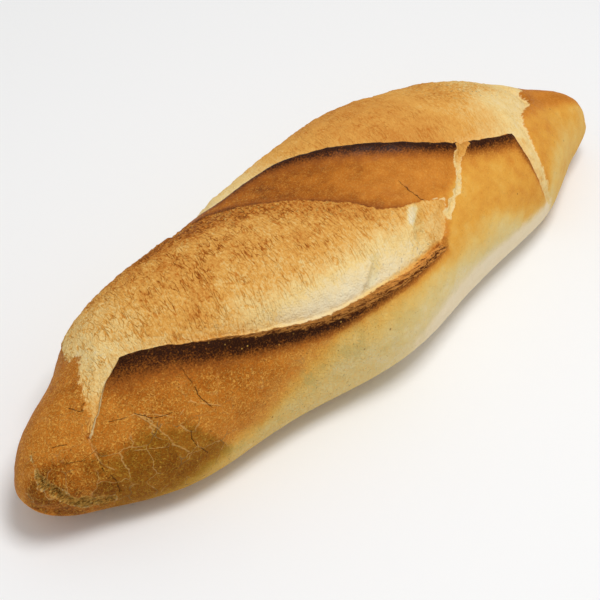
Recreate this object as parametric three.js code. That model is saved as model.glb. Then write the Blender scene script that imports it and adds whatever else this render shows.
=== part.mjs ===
// Wood-fired loaf: a long hand-shaped bread, torn open along two slashes, baked on the oven floor.
// Millimetres, +Z up. X runs along the loaf, the front is -Y and the flat sole lies on z = 0.
// A place on the crust is [x, angle]: x is measured from a station just short of the loaf's middle,
// and the angle goes round it in degrees, 0 at the front, 90 on top, 180 at the back and -90 under the sole.
// The finished loaf is moved along x so that the origin lies under its middle.

import * as THREE from 'three';
import { mergeVertices } from 'three/addons/utils/BufferGeometryUtils.js';

// Body: where it ends along x, and profiles as knots [x, size] along it
const NEAR_END = -175;
const FAR_END = 187;
const HALF_WIDTH = [
  [-175, 34.5], [-160, 36], [-147, 36], [-130, 38.8], [-112, 44.2], [-56, 48.8], [0, 58], [56, 57.5],
  [112, 49.6], [130, 43.6], [147, 33.5], [162, 23.5], [175, 18.5], [187, 15.5],
];
const TOP_HEIGHT = [
  [-175, 60], [-147, 58.5], [-130, 60.5], [-112, 66], [-56, 72.5], [0, 73], [56, 73.5],
  [112, 61.5], [130, 56.8], [147, 51.5], [162, 46.5], [175, 47.5], [187, 50],
];
const SIDE_SHIFT = [
  [-175, -3.5], [-160, -1.6], [-147, -0.8], [-130, -1.6], [-112, -0.3], [-56, 0], [0, -1.5], [56, 3.5],
  [112, 3.4], [130, 2], [147, -0.5], [162, -5], [175, -9], [187, -13],
];
const NEAR_ROUND = 88;
const FAR_ROUND = 45.5;

// Cross section: widest at the waist, a rounded crown above it and a fuller curve cut flat by the sole
const WAIST = 0.4;
const UPPER_POWER = 2.2;
const LOWER_POWER = 3;
const SOLE_CUT = 1.06;

// Edges of the two openings, as runs of [x, angle]. step is how far the torn crumb lies below the crust
// and ear how far the burnt edge curls up, at the start, middle and end of each run.
const NEAR_LIP = [[-115, 90], [-88, 66], [-61, 48.5], [-35, 39.5], [-4, 39], [37, 34.5]];
const FAR_LIP = [
  [-36, 152], [-20, 136], [5, 129], [19, 120.5], [33, 108], [56, 86.5], [80, 71], [117, 60.5],
];
const FLAT = [0, 0, 0];
const NEAR_OPENING = [
  { path: NEAR_LIP, step: [2, 3.2, 1.2], ear: [0.6, 3.4, 0.4] },
  { path: [[37, 34.5], [48, 43], [52.5, 50.5]], step: [1.2, 1, 0.6], ear: [0.4, 0, 0] },
  {
    path: [[52.5, 50.5], [40.5, 56.5], [24, 66], [12, 83.5], [-7, 106.5], [-33, 136]],
    step: [0.6, -0.6, 0.8],
    ear: FLAT,
  },
  { path: [[-33, 136], [-42, 154], [-75, 158], [-118, 147]], step: [0.8, -0.6, -1.4], ear: FLAT },
  {
    path: [[-118, 147], [-124, 128], [-124, 117], [-130, 106], [-134.5, 92], [-139.5, 77], [-145.5, 63]],
    step: [-1.4, 0.4, 0.8],
    ear: FLAT,
  },
  { path: [[-145.5, 63], [-136.5, 75], [-128, 85], [-115, 90]], step: [0.8, 2.2, 2], ear: [0, 0.8, 0.6] },
];
const FAR_OPENING = [
  { path: FAR_LIP, step: [1, 3.2, 2.2], ear: [0.3, 3.4, 2] },
  { path: [[117, 60.5], [115.5, 38], [118.5, 13], [125, -10]], step: [2.2, 1.7, 0.5], ear: [2, 1, 0] },
  {
    path: [[125, -10], [123.5, 25], [126.5, 50], [135, 68], [149, 77], [154, 97]],
    step: [0.5, 1.5, 3],
    ear: FLAT,
  },
  {
    path: [[154, 97], [152, 118], [143, 140], [110, 158], [62, 164], [-10, 166], [-36, 152]],
    step: [3, 1.2, 1],
    ear: FLAT,
  },
];

// Relief across an opening's edge
const STEP_HALF_WIDTH = 1.2;
const STEP_FADE = 9;
const EAR_CREST = 3;
const PILLOW_RISE = 2.4;
const PILLOW_REACH = 14;

// Torn grooves in the crust: a path of [x, angle], half width and depth at its start, middle and end
const GROOVES = [
  {
    path: [[49, 43.5], [59, 48.5], [66, 52], [70.5, 57.5], [76, 62.5], [85, 68]],
    half: [2.6, 1.8, 2.8],
    depth: [1.4, 1.6, 1.4],
  },
  {
    path: [[-165.5, 104], [-168.5, 60], [-165, 27], [-160, 4], [-147, -11]],
    half: [0.6, 3.2, 3.4],
    depth: [0.6, 2.2, 1.4],
  },
  { path: [[-145.5, 63], [-147, 36], [-143, 0]], half: [1, 0.8, 0.5], depth: [0.9, 0.9, 0.5] },
];

// Hand-shaped unevenness: waves of [height, length along x, turns round the loaf, phase]
const LUMPS = [[0.7, 34, -2, 2], [0.5, 13, 3, 0.7], [0.6, 21, 2, 1.3]];
const SOLE_FADE = { start: 50, width: 40 };
const END_FADE = 4;

// Mesh: stations along x, and columns from the sole to the near lip, to the far lip and back to the sole
const STATIONS = 100;
const COLUMNS = [18, 19, 24];
const STATION_CROWDING = 0.35;
const COLUMN_CROWDING = 0.5;
const SAMPLES_PER_SPAN = 6;
const NORMAL_STEP = { x: 0.5, angle: 0.6 };

const CRUST = new THREE.MeshStandardMaterial({ color: 0xb9772f, roughness: 0.75, metalness: 0 });

const { clamp, degToRad, smoothstep, lerp } = THREE.MathUtils;

/** Smooth curve y(x) through knots, with the slope at each knot taken from its neighbours. */
function curveThrough(knots) {
  const last = knots.length - 1;
  const slopeAt = (i) => {
    const before = knots[Math.max(i - 1, 0)];
    const after = knots[Math.min(i + 1, last)];
    return (after[1] - before[1]) / (after[0] - before[0]);
  };
  const slopes = knots.map((_, i) => slopeAt(i));
  return (at) => {
    const x = clamp(at, knots[0][0], knots[last][0]);
    const i = clamp(knots.findIndex((knot) => knot[0] >= x) - 1, 0, last - 1);
    const span = knots[i + 1][0] - knots[i][0];
    const t = (x - knots[i][0]) / span;
    const near = (1 + 2 * t) * (1 - t) ** 2 * knots[i][1] + t * (1 - t) ** 2 * span * slopes[i];
    const far = t * t * (3 - 2 * t) * knots[i + 1][1] + t * t * (t - 1) * span * slopes[i + 1];
    return near + far;
  };
}

/** Value at t of the parabola through its values at the start, middle and end. */
function threePoint([start, middle, end], t) {
  return start * (1 - t) * (1 - 2 * t) + 4 * middle * t * (1 - t) + end * t * (2 * t - 1);
}

const halfWidth = curveThrough(HALF_WIDTH);
const topHeight = curveThrough(TOP_HEIGHT);
const sideShift = curveThrough(SIDE_SHIFT);

/** Point of the smooth body: a superellipse section, shrunk by quarter-round ends and cut by the sole. */
function bodyPoint(x, angle) {
  const near = clamp(1 - (x - NEAR_END) / NEAR_ROUND, 0, 1);
  const far = clamp(1 - (FAR_END - x) / FAR_ROUND, 0, 1);
  const taper = Math.sqrt((1 - near ** 2) * (1 - far ** 2));
  const waist = WAIST * topHeight(x);
  const across = Math.cos(degToRad(angle));
  const rise = Math.sin(degToRad(angle));
  const power = rise >= 0 ? UPPER_POWER : LOWER_POWER;
  const reach = taper * (Math.abs(across) ** power + Math.abs(rise) ** power) ** (-1 / power);
  const tall = rise >= 0 ? topHeight(x) - waist : waist * SOLE_CUT;
  const y = sideShift(x) - halfWidth(x) * reach * across;
  return new THREE.Vector3(x, y, Math.max(waist + tall * reach * rise, 0));
}

/** Outward normal of the smooth body, from its slopes along x and round the section. */
function bodyNormal(x, angle) {
  const from = Math.max(x - NORMAL_STEP.x, NEAR_END);
  const to = Math.min(x + NORMAL_STEP.x, FAR_END);
  const along = bodyPoint(to, angle).sub(bodyPoint(from, angle));
  const round = bodyPoint(x, angle + NORMAL_STEP.angle).sub(bodyPoint(x, angle - NORMAL_STEP.angle));
  return along.cross(round).normalize();
}

/** Samples a run on the body: each sample has its place, its point and its share t of the run. */
function layRun(run) {
  const curve = new THREE.SplineCurve(run.path.map(([x, angle]) => new THREE.Vector2(x, angle)));
  const count = SAMPLES_PER_SPAN * (run.path.length - 1);
  return curve.getPoints(count).map((place, i) => ({
    x: place.x,
    angle: place.y,
    t: i / count,
    run,
    point: bodyPoint(place.x, place.y),
  }));
}

/** Nearest place on laid runs to a point: its distance, its run and its share t of the run. */
function nearestOn(laidRuns, point) {
  const best = { distance: Infinity, run: null, t: 0 };
  const side = new THREE.Line3();
  const foot = new THREE.Vector3();
  for (const laid of laidRuns) {
    for (let i = 0; i + 1 < laid.length; i++) {
      side.set(laid[i].point, laid[i + 1].point);
      const share = side.closestPointToPointParameter(point, true);
      const distance = side.at(share, foot).distanceTo(point);
      if (distance < best.distance) {
        best.distance = distance;
        best.run = laid[i].run;
        best.t = lerp(laid[i].t, laid[i + 1].t, share);
      }
    }
  }
  return best;
}

/** Whether a place lies inside the closed outline that the laid runs make, by counting crossings. */
function isInside(laidRuns, x, angle) {
  let inside = false;
  for (const laid of laidRuns) {
    for (let i = 0; i + 1 < laid.length; i++) {
      const a = laid[i];
      const b = laid[i + 1];
      const crosses = a.angle > angle !== b.angle > angle;
      if (crosses && x < a.x + ((angle - a.angle) * (b.x - a.x)) / (b.angle - a.angle)) inside = !inside;
    }
  }
  return inside;
}

/** Height of an opening's relief: the crumb steps down at the edge and swells, the crust's rim curls up. */
function openingRelief(laidRuns, point, x, angle) {
  const { distance, run, t } = nearestOn(laidRuns, point);
  const depth = isInside(laidRuns, x, angle) ? distance : -distance;
  const within = Math.max(depth, 0);
  const beyond = Math.max(-depth, 0) / EAR_CREST;
  const drop = smoothstep(depth, -STEP_HALF_WIDTH, STEP_HALF_WIDTH) * Math.exp(-within / STEP_FADE);
  const swell = 1 - Math.exp(-((within / PILLOW_REACH) ** 2));
  const curl = beyond * Math.exp(1 - beyond);
  return PILLOW_RISE * swell + threePoint(run.ear, t) * curl - threePoint(run.step, t) * drop;
}

/** Depth of a torn groove: a round-bottomed furrow along its path. */
function grooveDepth(laidGroove, point) {
  const { distance, run, t } = nearestOn([laidGroove], point);
  const half = threePoint(run.half, t);
  return threePoint(run.depth, t) * smoothstep(half - distance, 0, half);
}

/** Low waves of the hand-shaped dough, gone on the sole. */
function lumpHeight(x, angle) {
  const turn = degToRad(angle);
  const wave = ([height, length, turns, phase]) => height * Math.sin(x / length + turns * turn + phase);
  const { start, width } = SOLE_FADE;
  const clear = smoothstep(angle + start, 0, width) * smoothstep(180 + start - angle, 0, width);
  return clear * LUMPS.reduce((sum, lump) => sum + wave(lump), 0);
}

const nearOpening = NEAR_OPENING.map(layRun);
const farOpening = FAR_OPENING.map(layRun);
const grooves = GROOVES.map(layRun);

/** Point of the finished crust: the body moved along its normal by all the relief. */
function crustPoint(x, angle) {
  const point = bodyPoint(x, angle);
  let height = lumpHeight(x, angle);
  height += openingRelief(nearOpening, point, x, angle) + openingRelief(farOpening, point, x, angle);
  for (const groove of grooves) height -= grooveDepth(groove, point);
  height *= smoothstep(Math.min(x - NEAR_END, FAR_END - x), 0, END_FADE);
  point.addScaledVector(bodyNormal(x, angle), height);
  point.z = Math.max(point.z, 0);
  return point;
}

// Guide angles that carry the columns along the two lips and on past their ends
const nearGuide = curveThrough([[NEAR_END, 95], [-140, 95], ...NEAR_LIP, [80, 30], [FAR_END, 30]]);
const farGuide = curveThrough([[NEAR_END, 152], [-80, 158], ...FAR_LIP, [150, 60], [FAR_END, 60]]);

/** Share f moved towards 0 and 1, so that places crowd there. */
function crowd(f, amount) {
  return f - (amount * Math.sin(2 * Math.PI * f)) / (2 * Math.PI);
}

/** Angle of a column at x: crowded towards the lip guides at both sides. */
function columnAngle(x, column) {
  const [flank, top] = COLUMNS;
  const near = nearGuide(x);
  const far = farGuide(x);
  if (column < flank) return lerp(-90, near, 2 * crowd(0.5 + column / flank / 2, COLUMN_CROWDING) - 1);
  if (column < flank + top) return lerp(near, far, crowd((column - flank) / top, COLUMN_CROWDING));
  return lerp(far, 270, 2 * crowd((column - flank - top) / COLUMNS[2] / 2, COLUMN_CROWDING));
}

/** The loaf's closed skin: a sphere's grid of stations and columns, each point moved to the crust. */
function loafGeometry() {
  const columns = COLUMNS.reduce((sum, count) => sum + count, 0);
  const grid = new THREE.SphereGeometry(1, columns, STATIONS);
  grid.deleteAttribute('normal');
  grid.deleteAttribute('uv');
  const { position } = grid.attributes;
  for (let station = 0; station <= STATIONS; station++) {
    const x = lerp(NEAR_END, FAR_END, crowd(station / STATIONS, STATION_CROWDING));
    for (let column = 0; column <= columns; column++) {
      const point = crustPoint(x, columnAngle(x, column));
      position.setXYZ(station * (columns + 1) + column, point.x, point.y, point.z);
    }
  }
  const skin = mergeVertices(grid);
  skin.computeVertexNormals();
  return skin;
}

const loaf = new THREE.Mesh(loafGeometry(), CRUST);
loaf.name = 'loaf';
loaf.position.x = -(NEAR_END + FAR_END) / 2;

const part = new THREE.Group();
part.add(loaf);

export default part;
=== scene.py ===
"""Wood-fired loaf: a long hand-shaped bread, torn open along two slashes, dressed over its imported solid.

Sizes are millimetres and angles are degrees unless a name says otherwise; meshes are written in metres.
A place on the loaf is (x, angle): x runs along it from a station just short of its middle, and the angle
goes round it, 0 at the front (-Y), 90 on top, 180 at the back and -90 under the sole, which lies on z = 0.
"""

import itertools
import logging
import math
from dataclasses import dataclass, field
from enum import Enum
from typing import Any, Mapping, Optional, Sequence, Union

import bpy
import numpy as np
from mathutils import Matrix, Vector


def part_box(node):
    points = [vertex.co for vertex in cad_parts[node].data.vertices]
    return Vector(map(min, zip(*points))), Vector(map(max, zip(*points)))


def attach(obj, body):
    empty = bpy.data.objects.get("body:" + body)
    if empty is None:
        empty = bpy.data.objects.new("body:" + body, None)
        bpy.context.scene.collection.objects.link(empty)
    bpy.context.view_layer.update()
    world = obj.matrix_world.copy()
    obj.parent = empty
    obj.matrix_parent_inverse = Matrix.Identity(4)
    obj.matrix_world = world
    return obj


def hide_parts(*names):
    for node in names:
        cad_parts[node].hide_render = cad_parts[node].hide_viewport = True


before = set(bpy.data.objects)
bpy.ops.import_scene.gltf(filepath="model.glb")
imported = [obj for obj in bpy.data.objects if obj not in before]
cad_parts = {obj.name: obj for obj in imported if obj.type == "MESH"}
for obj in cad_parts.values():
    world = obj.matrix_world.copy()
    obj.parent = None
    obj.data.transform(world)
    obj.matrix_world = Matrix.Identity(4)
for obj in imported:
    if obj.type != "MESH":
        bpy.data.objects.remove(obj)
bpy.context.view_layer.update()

NODE = "loaf"
BODY = "root"
METRE = 0.001
TINY = 1e-9
GIRTH_PER_DEGREE = 0.96
LOG = logging.getLogger("loaf")

Array = np.ndarray
Pair = tuple[float, float]
Triple = tuple[float, float, float]
Size = Union[float, Triple]
Colour = tuple[float, float, float, float]
Stops = tuple[tuple[float, Colour], ...]


class Field(Enum):
    """Vertex attributes that carry the bake of the loaf to its finish."""

    TORN = "torn"
    BAKE = "bake"
    CHAR = "char"
    RIM = "rim"
    TAN = "tan"
    TOAST = "toast"
    GLOSS = "gloss"
    CRAZE = "craze"
    FLOUR = "flour"
    # The shade and fold fields carry painted shade, and char carries some along the near opening's strip-side
    # rim.
    SHADE = "shade"
    WINDOW = "window"
    DRAWN = "drawn"
    SPONGE = "sponge"
    EDGE = "edge"
    FOLD = "fold"
    FIBRE = "fibre"
    DARK_LINE = "dark_line"
    PALE_LINE = "pale_line"
    RIM_TOP = "rim_top"


def smoothstep(share: Array) -> Array:
    """S-curve from 0 to 1: t squared times (3 - 2t), with t held between 0 and 1.

    Args:
        share: values of t.

    Returns:
        The curve's values.
    """
    held = np.clip(share, 0.0, 1.0)
    return held * held * (3.0 - 2.0 * held)


def bell(distance: Array, reach: float) -> Array:
    """Bell curve: 1 at no distance, falling by the square of distance over reach.

    Args:
        distance: distances.
        reach: distance at which it has fallen to about a third.

    Returns:
        The curve's values.
    """
    return np.exp(-((distance / reach) ** 2))


def three_point(values: Triple, share: Array) -> Array:
    """Parabola through its values at the start, middle and end of a run.

    Args:
        values: the three values.
        share: share of the run, 0 to 1.

    Returns:
        The parabola's values.
    """
    start, middle, end = values
    leading = start * (1 - share) * (1 - 2 * share) + 4 * middle * share * (1 - share)
    return leading + end * share * (2 * share - 1)


def crowd(share: Array, amount: float) -> Array:
    """Shares moved towards 0 and 1 by a sine, so that places crowd there.

    Args:
        share: even shares, 0 to 1.
        amount: 0 for even, towards 1 for more crowded.

    Returns:
        The moved shares.
    """
    return share - amount * np.sin(2 * np.pi * share) / (2 * np.pi)


def tone(red: int, green: int, blue: int) -> Colour:
    """Screen colour, 0 to 255, as the linear colour that shaders take, by the standard screen curve.

    Args:
        red: red share.
        green: green share.
        blue: blue share.

    Returns:
        Linear red, green, blue and alpha 1.
    """
    screen = np.array([red, green, blue]) / 255.0
    linear = np.where(screen <= 0.04045, screen / 12.92, ((screen + 0.055) / 1.055) ** 2.4)
    return (*(float(value) for value in linear), 1.0)


@dataclass(frozen=True)
class Curve:
    """Smooth curve y(x): cubic Hermite spans through knots, the slope at each taken from its neighbours."""

    knots: tuple[Pair, ...]

    def __call__(self, at: Array) -> Array:
        """Values of the curve, held level beyond its ends.

        Args:
            at: places x.

        Returns:
            The values y.
        """
        x, y = np.array(self.knots, float).T
        last = len(x) - 1
        before = np.maximum(np.arange(last + 1) - 1, 0)
        after = np.minimum(np.arange(last + 1) + 1, last)
        slope = (y[after] - y[before]) / (x[after] - x[before])
        held = np.clip(np.asarray(at, float), x[0], x[-1])
        i = np.clip(np.searchsorted(x, held) - 1, 0, last - 1)
        span = x[i + 1] - x[i]
        t = (held - x[i]) / span
        near = (1 + 2 * t) * (1 - t) ** 2 * y[i] + t * (1 - t) ** 2 * span * slope[i]
        return near + t * t * (3 - 2 * t) * y[i + 1] + t * t * (t - 1) * span * slope[i + 1]


@dataclass(frozen=True)
class Fade:
    """S-curve of a value: 0 at its start, 1 a length further on; a negative length turns it round."""

    start: float
    length: float

    def __call__(self, value: Array) -> Array:
        """S-curve of (value - start) over length."""
        return smoothstep((value - self.start) / self.length)


@dataclass(frozen=True)
class Stripe:
    """Bell curve of a value about its middle."""

    middle: float
    reach: float

    def __call__(self, value: Array) -> Array:
        """Bell curve of value - middle, as wide as the reach."""
        return bell(value - self.middle, self.reach)


@dataclass(frozen=True)
class Grain:
    """Seeded value noise: hashed numbers on a lattice, blended by S-curves between its corners."""

    seed: int
    primes: tuple[int, int, int] = (73856093, 19349663, 83492791)
    seed_prime: int = 668265263
    mixing: tuple[tuple[int, int], ...] = ((13, 1274126177), (16, 461845907))
    mask: int = 0x7FFFFFFF
    turn: tuple[Triple, Triple, Triple] = (
        (2 / 3, -1 / 3, 2 / 3), (2 / 3, 2 / 3, -1 / 3), (-1 / 3, 2 / 3, 2 / 3),
    )

    def hashed(self, lattice: Array) -> Array:
        """Number from -1 to 1 for each lattice point, by integer mixing.

        Args:
            lattice: whole-number points, N by 3.

        Returns:
            N numbers.
        """
        mixed = (lattice * np.array(self.primes)).sum(1) + self.seed * self.seed_prime
        for shift, factor in self.mixing:
            mixed = (mixed ^ (mixed >> shift)) * factor & self.mask
        return mixed / float(self.mask // 2) - 1.0

    def value(self, points: Array, size: Size) -> Array:
        """One octave: the eight lattice numbers round a point, weighted by S-curves of its place.

        Args:
            points: N by 3 places.
            size: lattice step, one for all axes or one for each.

        Returns:
            N values from -1 to 1.
        """
        place = points / np.asarray(size, float)
        cell = np.floor(place).astype(np.int64)
        weight = smoothstep(place - cell)
        total = np.zeros(len(points))
        for corner in itertools.product((0, 1), repeat=3):
            share = np.where(np.array(corner, bool), weight, 1.0 - weight).prod(1)
            total += share * self.hashed(cell + np.array(corner))
        return total

    def rough(self, points: Array, size: Size, octaves: int = 3) -> Array:
        """Octaves of value noise, each half as large and high as the one before and turned from it.

        Args:
            points: N by 3 places.
            size: lattice step of the first octave; with one for each axis the octaves aren't turned.
            octaves: how many are added.

        Returns:
            N values, mostly from -1 to 1.
        """
        total = np.zeros(len(points))
        place = points
        for octave in range(octaves):
            step = 0.5 ** octave
            place = place @ np.array(self.turn) if np.ndim(size) == 0 else place
            total += step * Grain(self.seed + octave).value(place, np.asarray(size) * step)
        return total


@dataclass(frozen=True)
class Rough:
    """One layer of roughness: seeded noise of a size, and its height."""

    seed: int
    size: Size
    height: float = 1.0

    def at(self, points: Array) -> Array:
        """The layer at places: its height times octaves of value noise."""
        return self.height * Grain(self.seed).rough(points, self.size)


@dataclass(frozen=True)
class Body:
    """The smooth body under the relief: profiles along the loaf and its superellipse section."""

    far_end: float
    near_end: float = -175.0
    half_width: Curve = Curve((
        (-175, 34.5), (-160, 36), (-147, 36), (-130, 38.8), (-112, 44.2), (-56, 48.8), (0, 58), (56, 57.5),
        (112, 49.6), (130, 43.6), (147, 33.5), (162, 23.5), (175, 18.5), (187, 15.5),
    ))
    top_height: Curve = Curve((
        (-175, 60), (-147, 58.5), (-130, 60.5), (-112, 66), (-56, 72.5), (0, 73), (56, 73.5),
        (112, 61.5), (130, 56.8), (147, 51.5), (162, 46.5), (175, 47.5), (187, 50),
    ))
    side_shift: Curve = Curve((
        (-175, -3.5), (-160, -1.6), (-147, -0.8), (-130, -1.6), (-112, -0.3), (-56, 0), (0, -1.5),
        (56, 3.5), (112, 3.4), (130, 2), (147, -0.5), (162, -5), (175, -9), (187, -13),
    ))
    near_round: float = 88.0
    far_round: float = 45.5
    waist: float = 0.4
    upper_power: float = 2.2
    lower_power: float = 3.0
    sole_cut: float = 1.06
    normal_step: Pair = (0.5, 0.6)

    @property
    def middle(self) -> float:
        """Place along x that stands over the frame's origin."""
        return (self.near_end + self.far_end) / 2

    def to_end(self, x: Array) -> Array:
        """Distance along x to the nearer end."""
        return np.minimum(x - self.near_end, self.far_end - x)

    def point(self, x: Array, angle: Array) -> Array:
        """Points of the body: a superellipse about the waist, shrunk by round ends and cut by the sole.

        Args:
            x: places along the loaf.
            angle: places round it.

        Returns:
            Points, N by 3.
        """
        near = np.clip(1 - (x - self.near_end) / self.near_round, 0, 1)
        far = np.clip(1 - (self.far_end - x) / self.far_round, 0, 1)
        taper = np.sqrt((1 - near**2) * (1 - far**2))
        height = self.top_height(x)
        waist = self.waist * height
        across = np.cos(np.radians(angle))
        rise = np.sin(np.radians(angle))
        power = np.where(rise >= 0, self.upper_power, self.lower_power)
        reach = taper * (np.abs(across) ** power + np.abs(rise) ** power) ** (-1 / power)
        tall = np.where(rise >= 0, height - waist, waist * self.sole_cut)
        y = self.side_shift(x) - self.half_width(x) * reach * across
        return np.stack([x, y, np.maximum(waist + tall * reach * rise, 0.0)], 1)

    def normal(self, x: Array, angle: Array) -> Array:
        """Outward normals: the cross product of the body's slopes along x and round the section.

        Args:
            x: places along the loaf.
            angle: places round it.

        Returns:
            Unit normals, N by 3.
        """
        step, turn = self.normal_step
        before = np.maximum(x - step, self.near_end)
        after = np.minimum(x + step, self.far_end)
        along = self.point(after, angle) - self.point(before, angle)
        round_it = self.point(x, angle + turn) - self.point(x, angle - turn)
        outward = np.cross(along, round_it)
        return outward / np.maximum(np.linalg.norm(outward, axis=1, keepdims=True), TINY)


@dataclass(frozen=True)
class Run:
    """One stretch of a torn edge, with its relief and bake at its start, middle and end.

    step is how far the crumb lies below the crust, ear how far the crust's rim curls up, char how dark the
    edge is, burnt on most runs and painted shade on the near opening's strip-side rim, rim how wide its torn
    top is, scorch how far that darkening fades down the crust, wander how ragged the edge is, soft how
    gradually crust turns to crumb there, toast how brown the crumb is beside it and pale how much of a cream
    line the torn edge shows.
    """

    path: tuple[Pair, ...]
    step: Triple = (0, 0, 0)
    ear: Triple = (0, 0, 0)
    char: Triple = (0, 0, 0)
    rim: Triple = (0.3, 0.3, 0.3)
    scorch: Triple = (2, 2, 2)
    wander: Triple = (1, 1, 1)
    soft: Triple = (1, 1, 1)
    toast: Triple = (0, 0, 0)
    pale: Triple = (0, 0, 0)
    least_scorch: float = 0.4

    def places(self, samples: int = 6) -> Array:
        """Catmull-Rom curve through the path.

        Args:
            samples: pieces in each span between two knots.

        Returns:
            Rows of x, angle and share of the run.
        """
        knots = np.array(self.path, float)
        slope = np.empty_like(knots)
        slope[1:-1] = (knots[2:] - knots[:-2]) / 2
        slope[0] = (knots[1] - knots[0]) / 2
        slope[-1] = (knots[-1] - knots[-2]) / 2
        t = (np.arange(samples) / samples)[None, :, None]
        start = (1 + 2 * t) * (1 - t) ** 2 * knots[:-1, None] + t * (1 - t) ** 2 * slope[:-1, None]
        end = t * t * (3 - 2 * t) * knots[1:, None] + t * t * (t - 1) * slope[1:, None]
        curve = np.vstack([(start + end).reshape(-1, 2), knots[-1:]])
        return np.column_stack([curve, np.linspace(0, 1, len(curve))])

    def nearest(self, body: Body, points: Array) -> tuple[Array, Array]:
        """Distance from points to the run laid on the body, as the least distance to its straight pieces.

        Args:
            body: the body that the run lies on.
            points: N by 3 points of the body.

        Returns:
            N distances, and the share of the run at each nearest place.
        """
        places = self.places()
        line = body.point(places[:, 0], places[:, 1])
        distance = np.full(len(points), np.inf)
        share = np.zeros(len(points))
        for start, end, first, last in zip(line[:-1], line[1:], places[:-1, 2], places[1:, 2]):
            side = end - start
            along = np.clip((points - start) @ side / max(side @ side, TINY), 0, 1)
            apart = np.linalg.norm(points - start - along[:, None] * side, axis=1)
            closer = apart < distance
            distance = np.where(closer, apart, distance)
            share = np.where(closer, first + along * (last - first), share)
        return distance, share

    def burn(self, distance: Array, share: Array, reach: float) -> Array:
        """Darkening that the run spreads, burn on most runs and painted shade on the near opening's
        strip-side rim: full within its rim, then a bell curve as wide as its scorch.

        Args:
            distance: distances from the run.
            share: shares of the run at the nearest places.
            reach: how many times its scorch it spreads.

        Returns:
            Shares, 0 to 1.
        """
        beyond = np.maximum(distance - three_point(self.rim, share), 0)
        scorch = np.maximum(reach * three_point(self.scorch, share), self.least_scorch)
        return np.maximum(three_point(self.char, share), 0) * bell(beyond, scorch)


@dataclass(frozen=True)
class Edge:
    """What an opening measures at each vertex: depth inside it, its nearest run's values, its runs' burn."""

    depth: Array
    lip_distance: Array
    step: Array
    ear: Array
    rim: Array
    soft: Array
    toast: Array
    pale: Array
    burn: Array
    browned: Array
    char_inner: float
    char_fade: float = 0.8
    rim_outside: Fade = Fade(-0.6, 1.2)
    rim_inside: Fade = Fade(0.0, 0.9)
    rim_kept: Fade = Fade(0.6, 1.2)
    rim_top: Fade = Fade(-0.7, 0.6)
    least_rim: float = 0.4
    toast_inside: Fade = Fade(6.0, 8.0)
    pale_line: Stripe = Stripe(-0.6, 0.6)

    def char_share(self) -> Array:
        """Darkening of the edge, burn on most runs and painted shade on the near opening's strip-side rim,
        gone in the crumb from an inner depth on.
        """
        return self.burn * (1 - smoothstep((self.depth - self.char_inner) / self.char_fade))

    def gold_share(self, reach: float) -> Array:
        """Gold of the crust below the edge: a bell curve from its rim outwards."""
        return bell(np.maximum(-self.depth - self.rim, 0), reach)

    def rim_share(self) -> Array:
        """Torn rim: 1 on the crust within the rim's width of the edge, fading at both sides."""
        within = self.rim_outside(self.rim + self.depth) * (1 - self.rim_inside(self.depth))
        return within * self.rim_kept(self.rim)

    def rim_top_share(self) -> Array:
        """Upper part of the torn rim: an S-curve up from its middle."""
        return self.rim_top(self.depth / np.maximum(self.rim, self.least_rim))

    def toast_share(self) -> Array:
        """Toasted band of the crumb beside the edge: level, then an S-curve down with the depth."""
        return np.clip(self.toast, 0, 1) * (1 - self.toast_inside(self.depth))

    def pale_share(self) -> Array:
        """Cream line of the torn edge: a narrow bell curve just outside it."""
        return self.pale * self.pale_line(self.depth)


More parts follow.
